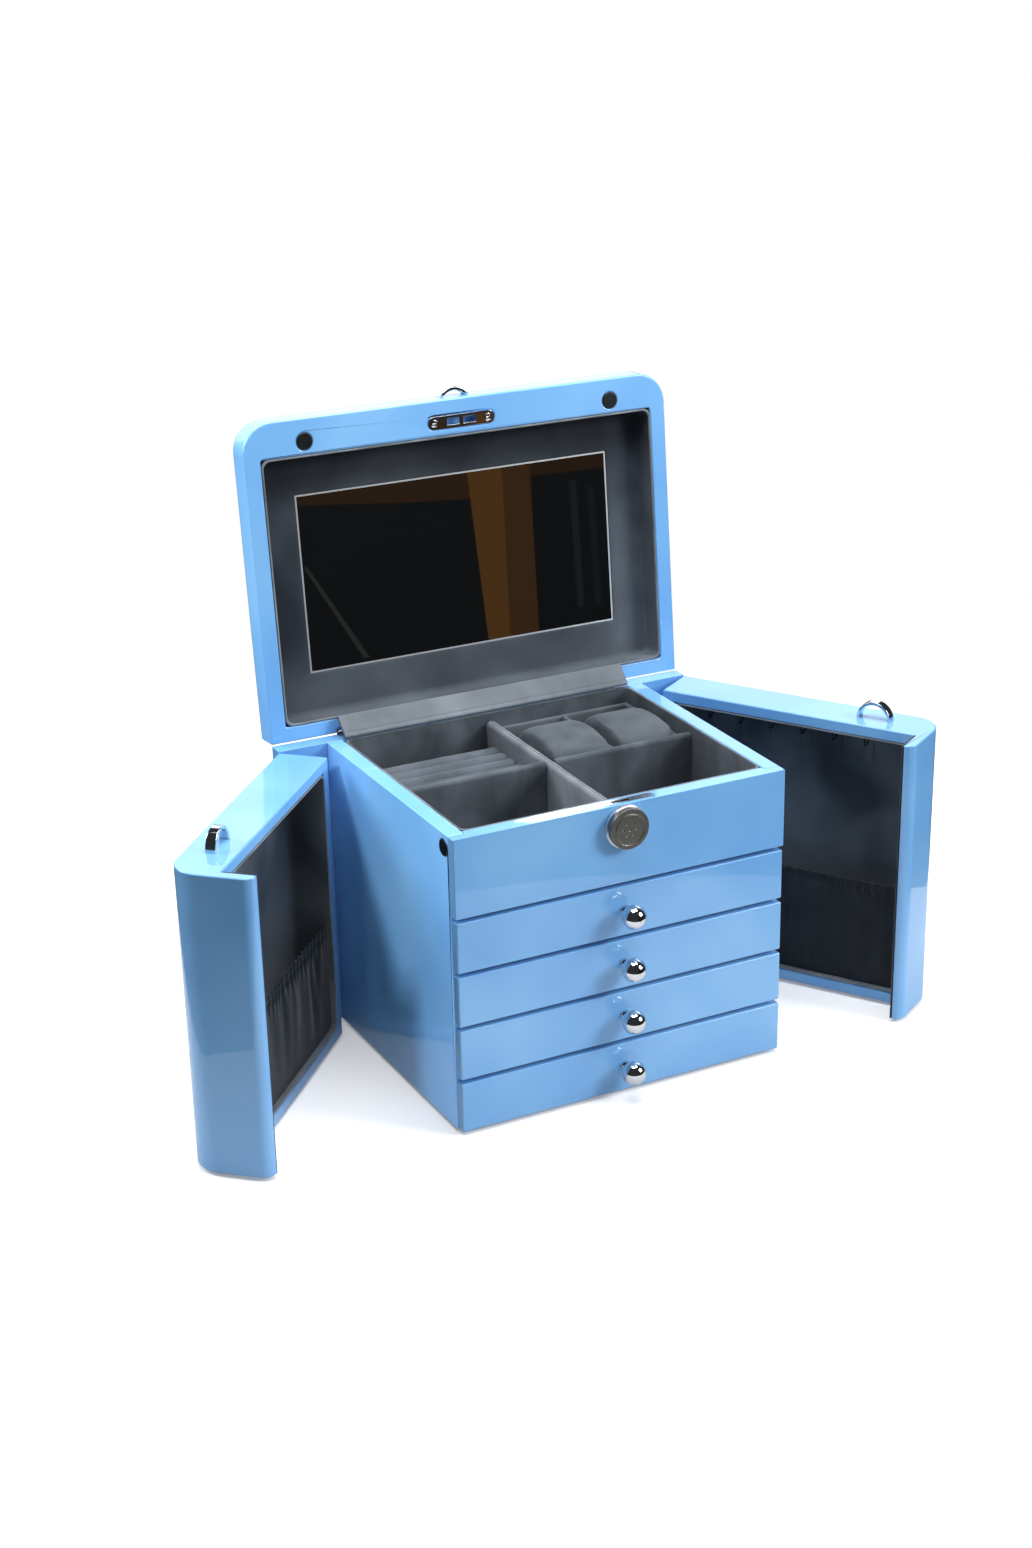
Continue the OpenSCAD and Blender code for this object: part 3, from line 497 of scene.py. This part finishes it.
def ends(s0, s1, r, steps=14, arc=4):
    """Stations from s0 to s1 with quarter-round ends of radius r, and how far each is drawn in."""
    angles = [math.radians(90 * i / arc) for i in range(arc + 1)]
    at = [s0 + r * (1 - math.sin(a)) for a in reversed(angles)]
    pull = [r * (1 - math.cos(a)) for a in reversed(angles)]
    middle = [s0 + r + (s1 - s0 - 2 * r) * i / steps for i in range(1, steps)]
    return at + middle + [s0 + s1 - s for s in reversed(at)], pull + [0.0] * len(middle) + pull[::-1]


def along_x(s, u, v):
    return Vector((s, u, v))


def along_y(s, u, v):
    return Vector((u, s, v))


def wall_profile(u0, u1, v0, v1, r_top, steps=6, rise=8):
    """A board on edge with a rounded top."""
    r = min(r_top, (u1 - u0) / 2)
    points = [(u0, v0 + (v1 - r - v0) * i / rise) for i in range(rise)]
    for i in range(steps + 1):
        a = math.radians(180 - 90 * i / steps)
        points.append((u0 + r + r * math.cos(a), v1 - r + r * math.sin(a)))
    for i in range(steps + 1):
        a = math.radians(90 - 90 * i / steps)
        points.append((u1 - r + r * math.cos(a), v1 - r + r * math.sin(a)))
    points += [(u1, v1 - r - (v1 - r - v0) * i / rise) for i in range(1, rise + 1)]
    return points


# how far past a tube's end each ring of its dome stands, and how wide it is, in radii
DOME = [(0.0, 1.0), (0.5, 0.85), (0.9, 0.35)]


def swept(bm, points, radius, sides=8):
    """A round tube through points, with domed ends."""
    rings = []
    for i, p in enumerate(points):
        ahead = (points[min(i + 1, len(points) - 1)] - points[max(i - 1, 0)]).normalized()
        side = ahead.cross(Vector((0.31, 0.17, 0.93))).normalized()
        up = ahead.cross(side)
        spots = [(p, radius)]
        if i == 0:
            spots = [(p - ahead * radius * d, radius * r) for d, r in reversed(DOME)]
        elif i == len(points) - 1:
            spots = [(p + ahead * radius * d, radius * r) for d, r in DOME]
        for q, r in spots:
            rings.append([q + (side * math.cos(a) + up * math.sin(a)) * r
                          for a in (2 * math.pi * k / sides for k in range(sides))])
    return skin(bm, rings)


# ---- soft pieces of the cabinet ----


def tray_lining():
    low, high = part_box("tray_lining")
    tub("tray_velvet", low, high, "cabinet", SQUARE, "tray_lining", 1.5 * MM, seed=2, cloth=VELVET_TRAY)


def dividers():
    low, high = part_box("long_divider")
    bm = bmesh.new()
    at, pull = ends(low.y, high.y, 2 * MM, 60)
    rows = loft(bm, wall_profile(low.x, high.x, low.z, high.z, 4 * MM), at, pull, along_y)
    bm.normal_update()
    ripple(rows, -0.0009, 75, 3)
    o = piece("long_divider_velvet", bm, [VELVET_LIT_DIVIDER], "cabinet", ["long_divider"])
    low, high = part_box("cross_dividers")
    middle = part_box("long_divider")[1].x + 0.00005
    bm = bmesh.new()
    for x0, x1 in ((low.x, -middle), (middle, high.x)):
        at, pull = ends(x0, x1, 1.2 * MM, 44)
        rows = loft(bm, wall_profile(low.y, high.y, low.z, high.z, 2.5 * MM), at, pull, along_x)
        bm.normal_update()
        ripple(rows, -0.0008, 80, 4)
    o = piece("cross_dividers_velvet", bm, [VELVET_TRAY], "cabinet", ["cross_dividers"])


ROLLS = 6


def ring_rolls():
    low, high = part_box("ring_rolls")
    pitch = (high.y - low.y) / ROLLS
    r = pitch / 2
    profile = [(low.y, low.z)]
    top = high.z - r
    for i in range(ROLLS):
        centre = low.y + (i + 0.5) * pitch
        for k in range(13):
            a = math.radians(178 - 176 * k / 12)
            profile.append((centre + r * math.cos(a) * 0.985, top + r * math.sin(a)))
        if i < ROLLS - 1:
            profile.append((centre + r, top - 0.0035))
    profile.append((high.y, low.z))
    bm = bmesh.new()
    rings = []
    at, pull = ends(low.x, high.x, 3 * MM, 22, 5)
    for s, p in zip(at, pull):
        rings.append([Vector((s, min(max(u, low.y + p), high.y - p), v - p * (v > low.z + 0.001)))
                      for u, v in profile])
    rows = skin(bm, rings)
    bm.normal_update()
    ripple(rows, -0.0007, 60, 5)
    o = piece("ring_rolls_velvet", bm, [VELVET_TRAY], "cabinet", ["ring_rolls"])


def pillow_tray():
    low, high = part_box("pillow_tray")
    left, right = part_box("pillow_left"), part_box("pillow_right")
    wall = 3.5 * MM
    mid = (left[1].x + right[0].x) / 2
    bm = bmesh.new()
    floor = low.z + 7.6 * MM
    for y0, y1 in ((low.y, low.y + wall), (high.y - wall, high.y)):
        at, pull = ends(low.x, high.x, 0.8 * MM, 18)
        loft(bm, wall_profile(y0, y1, low.z, high.z, 1.7 * MM), at, pull, along_x)
    for x0, x1 in ((low.x, low.x + wall), (mid - wall / 2, mid + wall / 2), (high.x - wall, high.x)):
        at, pull = ends(low.y + 0.4 * MM, high.y - 0.4 * MM, 0.8 * MM, 14)
        loft(bm, wall_profile(x0, x1, low.z, high.z, 1.7 * MM), at, pull, along_y)
    at, pull = ends(low.x + 0.6 * MM, high.x - 0.6 * MM, 0.4 * MM, 14)
    loft(bm, wall_profile(low.y + 0.6 * MM, high.y - 0.6 * MM, low.z, floor, 0.5 * MM), at, pull, along_x)
    piece("pillow_tray_velvet", bm, [VELVET_LIT_PILLOW_TRAY], "cabinet", ["pillow_tray"])


def base_felt():
    low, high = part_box("base_felt")
    bm = bmesh.new()
    rings = []
    for inset, z in ((0.0012, low.z), (0.0004, low.z + 0.0003), (0, low.z + 0.0008), (0, high.z)):
        rings.append(rounded_ring(low.x + inset, high.x - inset, low.y + inset, high.y - inset, 0.006, z))
    skin(bm, rings)
    piece("base_felt_pad", bm, [FINISH["felt"]], "cabinet", ["base_felt"])


CUSHION_VOXEL = 3.4 * MM
PUFF_FRAMES = 20
PUFF_LIMIT = 2.2 * MM


def swollen(bm, name):
    """Blows a closed cushion up a little with a cloth simulation, and returns its mesh as a bmesh."""
    mesh = bpy.data.meshes.new(name)
    bm.to_mesh(mesh)
    bm.free()
    o = bpy.data.objects.new(name, mesh)
    scene.collection.objects.link(o)
    remesh = o.modifiers.new("remesh", "REMESH")
    remesh.mode = "VOXEL"
    remesh.voxel_size = CUSHION_VOXEL
    dg = bpy.context.evaluated_depsgraph_get()
    solid = bpy.data.meshes.new_from_object(o.evaluated_get(dg))
    o.modifiers.clear()
    o.data = solid
    before = [v.co.copy() for v in solid.vertices]
    cloth = o.modifiers.new("cloth", "CLOTH")
    cloth.settings.quality = 6
    cloth.settings.mass = 0.15
    cloth.settings.tension_stiffness = 25
    cloth.settings.bending_stiffness = 1.5
    cloth.settings.use_pressure = True
    cloth.settings.uniform_pressure_force = 4
    cloth.settings.effector_weights.gravity = 0
    cloth.point_cache.frame_end = PUFF_FRAMES
    for f in range(1, PUFF_FRAMES + 1):
        scene.frame_set(f)
    dg = bpy.context.evaluated_depsgraph_get()
    solid = bpy.data.meshes.new_from_object(o.evaluated_get(dg))
    scene.frame_set(1)
    out = bmesh.new()
    out.from_mesh(solid)
    out.verts.ensure_lookup_table()
    for v, old in zip(out.verts, before):
        move = v.co - old
        v.co = old + move * min(1.0, PUFF_LIMIT / max(move.length, 1e-9))
    bpy.data.objects.remove(o)
    return out


SEAM_DEPTH = 1.1 * MM


def hump(value, centre, width):
    """A smooth bump: 1 at the centre, falling to nothing a few widths away."""
    return math.exp(-(((value - centre) / width) ** 2))


def pillow(side):
    node = "pillow_" + side
    low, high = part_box(node)
    slim = 1.6 * MM
    y0, y1, z0, z1 = low.y + slim, high.y - slim, low.z + 0.3 * MM, high.z - slim
    crown, sink = 3.5 * MM, 1.2 * MM
    profile = []
    for p in rounded_ring(y0, y1, z0, z1, 12 * MM, 0, corner=8, side=8):
        swell = crown * math.sin(math.pi * (p.x - y0) / (y1 - y0)) * (p.y - z0) / (z1 - z0)
        profile.append((p.x, p.y + swell - sink))
    bm = bmesh.new()
    at, pull = ends(low.x + slim * 0.6, high.x - slim * 0.6, 3.5 * MM, 14, 6)
    loft(bm, profile, at, pull, along_x)
    bm = swollen(bm, node + "_form")
    seam = 5.2 * MM
    for v in bm.verts:
        for x, s in ((low.x, 1), (high.x, -1)):
            near = abs(s * (v.co.x - x) - seam)
            v.co += v.normal * -SEAM_DEPTH * hump(near, 0.0, 1.6 * MM)
        v.co.x = min(max(v.co.x, low.x), high.x)
        v.co.y = min(max(v.co.y, low.y), high.y)
        v.co.z = min(max(v.co.z, low.z), high.z + 0.001)
    o = piece(node + "_cushion", bm, [VELVET_CUSHION], side + "_pillow", [node])
    smooth = o.modifiers.new("smooth", "SUBSURF")
    smooth.levels = smooth.render_levels = 1


# ---- soft pieces of the lid, the flap, the doors and the drawers ----


def lid_lining():
    low, high = box_in("lid_lining", LID)
    glass = box_in("mirror_backing", LID)
    # local z runs from the recess's floor down to its rim, so the tub is built upside down
    flip = LID @ Matrix.Diagonal((1, -1, -1, 1))
    lo = Vector((low.x, -high.y, -high.z))
    hi = Vector((high.x, -low.y, -low.z))
    grow = 0.1 * MM
    hole = (glass[0].x - grow, glass[1].x + grow, -glass[1].y - grow, -glass[0].y + grow)
    tub("lid_velvet", lo, hi, "lid", flip, "lid_lining", 1.5 * MM, hole=hole, swell=0.00025, seed=6,
        cloth=VELVET_LID)


def flap():
    pivot = Vector(JOINTS["flap_crease"]["pos_m"])
    rise = math.radians(44.5)
    low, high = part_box("flap")
    length, thick, under = 18 * MM, 2.4 * MM, 0.6 * MM
    matrix = Matrix.Translation(pivot) @ Matrix.Rotation(rise, 4, "X")
    crease = 3.2 * MM
    r = thick / 2
    top, bottom = [], []
    steps = 26
    for i in range(steps + 1):
        u = -0.0004 + (length - 0.0003 + 0.0004) * i / steps
        edge = min(u + 0.0004, length - 0.0003 - u)
        h = r * math.sqrt(max(0.0, 1 - max(0.0, 1 - edge / r) ** 2))
        dip = 0.0006 * math.exp(-(((u - crease) / 0.0006) ** 2))
        top.append((u, r - under + h - dip))
        bottom.append((u, r - under - h))
    profile = top + bottom[::-1][1:-1]
    bm = bmesh.new()
    trim = 0.5 * MM
    at, pull = ends(low.x + trim, high.x - trim, 1.0 * MM, 40)
    rows = loft(bm, profile, at, [p * 0.8 for p in pull], along_x)
    bm.normal_update()
    ripple(rows, -0.0002, 40, 7)
    piece("flap_velvet", bm, [VELVET_FLAP], "flap", ["flap"], matrix=matrix)


def door_frame(side):
    """Local x runs along the door, y up, z out of its open face; matrix to the row frame."""
    s = 1 if side == "left" else -1
    turn = Matrix(((0, 0, s, 0), (-1 * s, 0, 0, 0), (0, 1, 0, 0), (0, 0, 0, 1)))
    return DOORS[side] @ turn


def door_local(side, node):
    return box_in(node, door_frame(side))


def door_lining(side):
    node = side + "_door_lining"
    low, high = door_local(side, node)
    tub(side + "_door_velvet", low, high, side + "_door", door_frame(side), node, 1.5 * MM, swell=0.0006,
        seed=8 if side == "left" else 9, cloth=VELVET_DOOR)


def lip_velvet(side):
    """The velvet strip on the back of the lip."""
    node = side + "_lip_velvet"
    low, high = door_local(side, node)
    bm = bmesh.new()
    rings = []
    for inset, x in ((0.0005, low.x), (0.0001, low.x + 0.0003), (0.0, low.x + 0.0006), (0.0, high.x)):
        ring = rounded_ring(low.y + inset, high.y - inset, low.z + inset, high.z - inset, 0.0005, 0, 3, 60)
        rings.append([Vector((x, p.x, p.y)) for p in ring])
    rows = skin(bm, rings)
    bm.normal_update()
    ripple(rows[1:3], -0.0001, 90, 10)
    o = piece(side + "_lip_strip", bm, [VELVET], side + "_door", [node], matrix=door_frame(side))


BAND = 8 * MM
RUFFLES = 26
RUFFLE_DEPTH = 1.0 * MM
BAND_LIP = 0.5 * MM
POCKET_BULGE = 1.0 * MM
FOLD_DEPTH = {"left": 1.2 * MM, "right": 4.2 * MM}
POCKET_SEED = {"left": 11, "right": 12}
FOLDS = 26


def pocket_depth(u, drop, inside, folds, depth):
    """How far the pocket's cloth stands off its middle plane.

    u runs along the pocket, drop from the band's lower edge to the hem, and inside across the band;
    inside is None below the band.
    """
    pinned = min(1.0, 14 * u, 14 * (1 - u))
    wave = u * RUFFLES + 0.5 * noise.noise((u * 9, 0, 3))
    ruffle = RUFFLE_DEPTH * math.sin(2 * math.pi * wave) * pinned
    if inside is not None:
        gathered = ruffle * (0.7 + 0.3 * math.cos(2 * math.pi * inside))
        return gathered + BAND_LIP * (hump(inside, 0.12, 0.1) - hump(inside, 1, 0.12))
    near = math.exp(-drop * 14)
    body = 0.0
    for at, wide, amount, down in folds:
        lean = at + 0.03 * amount * drop
        body += amount * depth * hump(u, lean, wide) * hump(drop, down * 0.5, 0.45)
    bulge = POCKET_BULGE * math.sin(math.pi * min(1.0, drop * 1.05)) * math.sin(math.pi * u)
    settle = min(1.0, 6 * (1 - drop))
    return ruffle * near + (body * (1 - near * 0.7) + bulge) * settle * pinned


def door_pocket(side):
    """A gathered pocket: an elastic band with close ruffles, and loose folds that fall from it."""
    node = side + "_pocket"
    low, high = door_local(side, node)
    rnd = random.Random(POCKET_SEED[side])
    z_mid = (low.z + high.z) / 2
    width, height = high.x - low.x, high.y - low.y
    folds = []
    for _ in range(FOLDS):
        folds.append((rnd.uniform(0.02, 0.98), rnd.uniform(0.018, 0.05), rnd.uniform(-1, 1),
                      rnd.uniform(0.25, 0.9)))
    nu, nv = 260, 60
    bm = bmesh.new()
    grid = []
    for j in range(nv + 1):
        y = low.y + height * j / nv
        drop = max(0.0, (high.y - BAND - y) / (height - BAND))
        inside = (high.y - y) / BAND if y > high.y - BAND else None
        row = []
        for i in range(nu + 1):
            u = i / nu
            z = z_mid + pocket_depth(u, drop, inside, folds, FOLD_DEPTH[side])
            z = min(max(z, low.z - 3.5 * MM), high.z + 1.8 * MM)
            row.append(bm.verts.new((low.x + width * u, y, z)))
        grid.append(row)
    for a, b in zip(grid, grid[1:]):
        for i in range(nu):
            bm.faces.new((a[i], a[i + 1], b[i + 1], b[i]))
    o = piece(side + "_pocket_cloth", bm, [SATIN], side + "_door", [node], matrix=door_frame(side))
    cloth = o.modifiers.new("cloth", "SOLIDIFY")
    cloth.thickness = 0.6 * MM
    cloth.offset = 0


HOOKS = 6
HOOK_PITCH = 25.5 * MM
TAB_W, TAB_R = 7 * MM, 1.2 * MM
WIRE_R = 0.6 * MM
CROOK_R = 2.2 * MM


def hook_tab(bm, x, low, high):
    """A small velvet tab on the door's lining."""
    rings = []
    for inset, out in ((0.2, 0.0), (0.0, 0.4), (0.1, 0.9), (0.9, 1.3)):
        inset, out = inset * MM, out * MM
        x0, x1 = x - TAB_W / 2 + inset, x + TAB_W / 2 - inset
        rings.append(rounded_ring(x0, x1, low.y + inset, high.y - inset, TAB_R, low.z + out, 3, 4))
    skin(bm, rings)


def hook_wire(bm, x, low, high):
    """The wire that comes out of the tab and turns up at its end."""
    y, tip = low.y + 18 * MM, high.z - 0.9 * MM
    path = [Vector((x, y + up * MM, low.z + out * MM)) for up, out in ((3, 1), (1, 4), (-1, 7.5))]
    for k in range(7):
        a = math.radians(-100 + 110 * k / 6)
        path.append(Vector((x, y + 1.2 * MM + CROOK_R * math.sin(a), tip - CROOK_R * (1 - math.cos(a)))))
    path.append(Vector((x, y + 4.5 * MM, tip + 0.1 * MM)))
    swept(bm, path, WIRE_R)


def door_hooks(side):
    node, body, matrix = side + "_hooks", side + "_door", door_frame(side)
    low, high = door_local(side, node)
    cloth, wire = bmesh.new(), bmesh.new()
    for i in range(HOOKS):
        x = low.x + TAB_W / 2 + i * HOOK_PITCH
        hook_tab(cloth, x, low, high)
        hook_wire(wire, x, low, high)
    piece(side + "_hook_tabs", cloth, [VELVET_DOOR], body, [node], matrix=matrix)
    metal = FINISH["hook_brass"]
    piece(side + "_hook_wires", wire, [metal], body, [node], matrix=matrix)


def drawer_velvet(k):
    node = f"drawer{k}_velvet"
    low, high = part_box(node)
    tub(f"drawer{k}_lining", low, high, f"drawer{k}", SQUARE, node, 1.0 * MM, seed=20 + k)


# ---- stage ----

TABLE_R = 0.48
TABLE_LIFT = 0.22
BOUNCE = 0.66
FLOOR_STEPS = 64
FLOOR_FAR_R = 9.0
WHITE_FROM_R = 1.0


def flat_card(name, points, mat):
    mesh = bpy.data.meshes.new(name)
    mesh.from_pydata(points, [], [list(range(len(points)))])
    mesh.materials.append(mat)
    o = bpy.data.objects.new(name, mesh)
    scene.collection.objects.link(o)
    return o


def area_light(name, place, aim, size, watts, colour=(1, 1, 1)):
    data = bpy.data.lights.new(name, "AREA")
    data.shape = "RECTANGLE"
    data.size, data.size_y = size
    data.energy = watts
    data.color = colour
    o = bpy.data.objects.new(name, data)
    scene.collection.objects.link(o)
    o.location = place
    o.rotation_euler = (Vector(aim) - Vector(place)).to_track_quat("-Z", "Y").to_euler()
    return o


def glow(name, colour, strength):
    n = Nodes(name, Roughness=1.0, Emission_Strength=strength)
    n.shader.inputs["Base Color"].default_value = (0, 0, 0, 1)
    n.shader.inputs["Emission Color"].default_value = (*colour, 1)
    return n.mat


def reflected_only(o):
    """The card is seen only in the object's gloss, as the room round a photographer's table is."""
    o.visible_camera = o.visible_diffuse = o.visible_shadow = o.visible_transmission = False


ROOM_Y = -1.12
ROOM_TOP = 0.33
MIRROR_AHEAD = 1.25
CARD_STEP = 0.002
BLACK, BROWN = (0.0015, 0.002, 0.0022), (0.10, 0.040, 0.006)

# name, corners as (x, z), colour, strength; each card stands a little in front of the one before
ROOM = [
    ("room_dark", [(0.1, -0.2), (1.2, -0.2), (1.2, 0.60), (0.1, 0.60)], BLACK, 1.0),
    ("room_beam", [(0.34, 0.240), (0.494, 0.223), (0.60, 0.214), (0.60, 0.31), (0.34, 0.31)], BROWN, 0.3),
    ("room_beam_right", [(0.67, 0.232), (0.80, 0.228), (0.80, 0.31), (0.67, 0.31)], BROWN, 0.25),
    ("room_post_side", [(0.622, 0.0), (0.666, 0.0), (0.682, 0.31), (0.642, 0.31)], BROWN, 0.55),
    ("room_post", [(0.597, 0.0), (0.624, 0.0), (0.643, 0.31), (0.590, 0.31)], BROWN, 1.0),
    ("room_streak", [(0.724, 0.06), (0.733, 0.06), (0.739, 0.22), (0.729, 0.22)],
     (0.010, 0.012, 0.013), 1.0),
    ("room_streak_2", [(0.748, 0.06), (0.758, 0.06), (0.762, 0.21), (0.753, 0.21)],
     (0.006, 0.008, 0.009), 1.0),
    ("room_line", [(0.424, 0.045), (0.432, 0.045), (0.366, 0.165), (0.361, 0.165)],
     (0.026, 0.026, 0.025), 1.0)]


def dark_room():
    """What the mirror shows: a dark room with a wooden post and beam, drawn as sharp flat cards without the
    blur of the real view.
    """
    rise = 2 * MIRROR_LEAN * MIRROR_AHEAD
    for k, (name, corners, colour, strength) in enumerate(ROOM):
        points = [(x, ROOM_Y + CARD_STEP * k, min(z + rise, ROOM_TOP)) for x, z in corners]
        reflected_only(flat_card(name, points, glow(name, colour, strength)))


def paper(name):
    n = Nodes(name, Specular_IOR_Level=0.1)
    n.rough(n.fit(n.noise(40), 0.8, 0.95))
    tone = n.ramp(n.noise(3, 4), (0.3, (0.88, 0.88, 0.89)), (0.7, (0.92, 0.92, 0.92)))
    return n, tone


def circle(radius, z=0.0):
    turn = [2 * math.pi * k / FLOOR_STEPS for k in range(FLOOR_STEPS)]
    return [(radius * math.cos(a), radius * math.sin(a), z) for a in turn]


def near_floor():
    """The pale table under the object. It shows in the picture, but lights and mirrors nothing."""
    n, tone = paper("table_paper")
    n.colour(tone)
    n.shader.inputs["Emission Color"].default_value = (1, 1, 1, 1)
    n.shader.inputs["Emission Strength"].default_value = TABLE_LIFT
    o = flat_card("floor_near", circle(TABLE_R), n.bump((n.noise(300), 0.00002)))
    o.visible_glossy = o.visible_diffuse = o.visible_shadow = False


def bounce_floor():
    """A duller sheet just under the table, for the light that comes back up and for the gloss."""
    n, tone = paper("bounce_paper")
    n.colour(n.mix(1.0, tone, (BOUNCE, BOUNCE, BOUNCE), "MULTIPLY"))
    o = flat_card("floor_bounce", circle(TABLE_R, -0.5 * MM), n.bump((n.noise(300), 0.00002)))
    o.visible_camera = False


def far_floor():
    """The floor past the table, which turns into the white backdrop."""
    n, tone = paper("backdrop_paper")
    out = n.add("ShaderNodeVectorMath", {0: n.place}, operation="LENGTH").outputs["Value"]
    inputs = {"Value": out, "From Min": TABLE_R, "From Max": WHITE_FROM_R}
    out = n.add("ShaderNodeMapRange", inputs).outputs[0]
    n.colour(n.mix(out, tone, (0.0, 0.0, 0.0)))
    lift = (TABLE_LIFT, TABLE_LIFT, TABLE_LIFT)
    n.tree.links.new(n.mix(out, lift, (1.0, 1.0, 1.0)), n.shader.inputs["Emission Color"])
    n.shader.inputs["Emission Strength"].default_value = 1.0
    mesh = bpy.data.meshes.new("floor_far")
    quads = []
    for k in range(FLOOR_STEPS):
        following = (k + 1) % FLOOR_STEPS
        quads.append((k, following, FLOOR_STEPS + following, FLOOR_STEPS + k))
    mesh.from_pydata(circle(TABLE_R) + circle(FLOOR_FAR_R), [], quads)
    mesh.flip_normals()
    mesh.materials.append(n.bump((n.noise(300), 0.00002)))
    o = bpy.data.objects.new("floor_far", mesh)
    scene.collection.objects.link(o)
    o.visible_glossy = o.visible_diffuse = False


def make_world():
    """White to the camera, pale to matt surfaces and nearly black to glossy ones."""
    world = bpy.data.worlds.new("world")
    scene.world = world
    world.use_nodes = True
    tree = world.node_tree
    tree.nodes.clear()
    path = tree.nodes.new("ShaderNodeLightPath")

    def sky(colour, strength):
        n = tree.nodes.new("ShaderNodeBackground")
        n.inputs["Color"].default_value = (*colour, 1)
        n.inputs["Strength"].default_value = strength
        return n.outputs[0]

    def pick(ray, no, yes):
        n = tree.nodes.new("ShaderNodeMixShader")
        tree.links.new(path.outputs[ray], n.inputs[0])
        tree.links.new(no, n.inputs[1])
        tree.links.new(yes, n.inputs[2])
        return n.outputs[0]

    rest = pick("Is Glossy Ray", sky((1, 1, 1), 0.24), sky((0.03, 0.032, 0.036), 1.0))
    out = tree.nodes.new("ShaderNodeOutputWorld")
    tree.links.new(pick("Is Camera Ray", rest, sky((1, 1, 1), 1.0)), out.inputs[0])


def fill(name, node, place, aim, watts):
    """A small soft light that falls on one board only."""
    light = area_light(name, place, aim, (0.15, 0.15), watts)
    lit = bpy.data.collections.new(name + "_lit")
    lit.objects.link(NODES[node])
    light.light_linking.receiver_collection = lit


def make_stage():
    near_floor()
    bounce_floor()
    far_floor()
    make_world()
    dark_room()
    back = flat_card("back_card", [(-0.9, 2.2, 0.35), (2.6, 2.2, 0.35), (2.6, 2.2, 2.3), (-0.9, 2.2, 2.3)],
                     glow("back_glow", (0.95, 0.98, 1.0), 1.3))
    reflected_only(back)
    middle = (0, 0, 0.15)
    area_light("top_softbox", (0.0, -0.05, 1.45), middle, (1.0, 0.9), 22)
    area_light("key_softbox", (1.35, -1.3, 1.15), middle, (0.8, 0.8), 31)
    area_light("back_softbox", (-1.15, 0.85, 1.1), (0, 0, 0.25), (0.7, 0.7), 18)
    fill("panel_fill", "side_left", (-1.0, -0.4, 0.95), (-0.128, -0.05, 0.15), 11)
    fill("lid_fill", "lid_shell", (-1.2, 0.1, 0.9), (-0.165, 0.11, 0.33), 9)


make_camera()
dress_cad()
tray_lining()
dividers()
ring_rolls()
pillow_tray()
base_felt()
pillow("left")
pillow("right")
lid_lining()
flap()
for door in ("left", "right"):
    door_lining(door)
    lip_velvet(door)
    door_pocket(door)
    door_hooks(door)
for number in range(1, 5):
    drawer_velvet(number)
make_stage()
scene.view_settings.view_transform = "Standard"
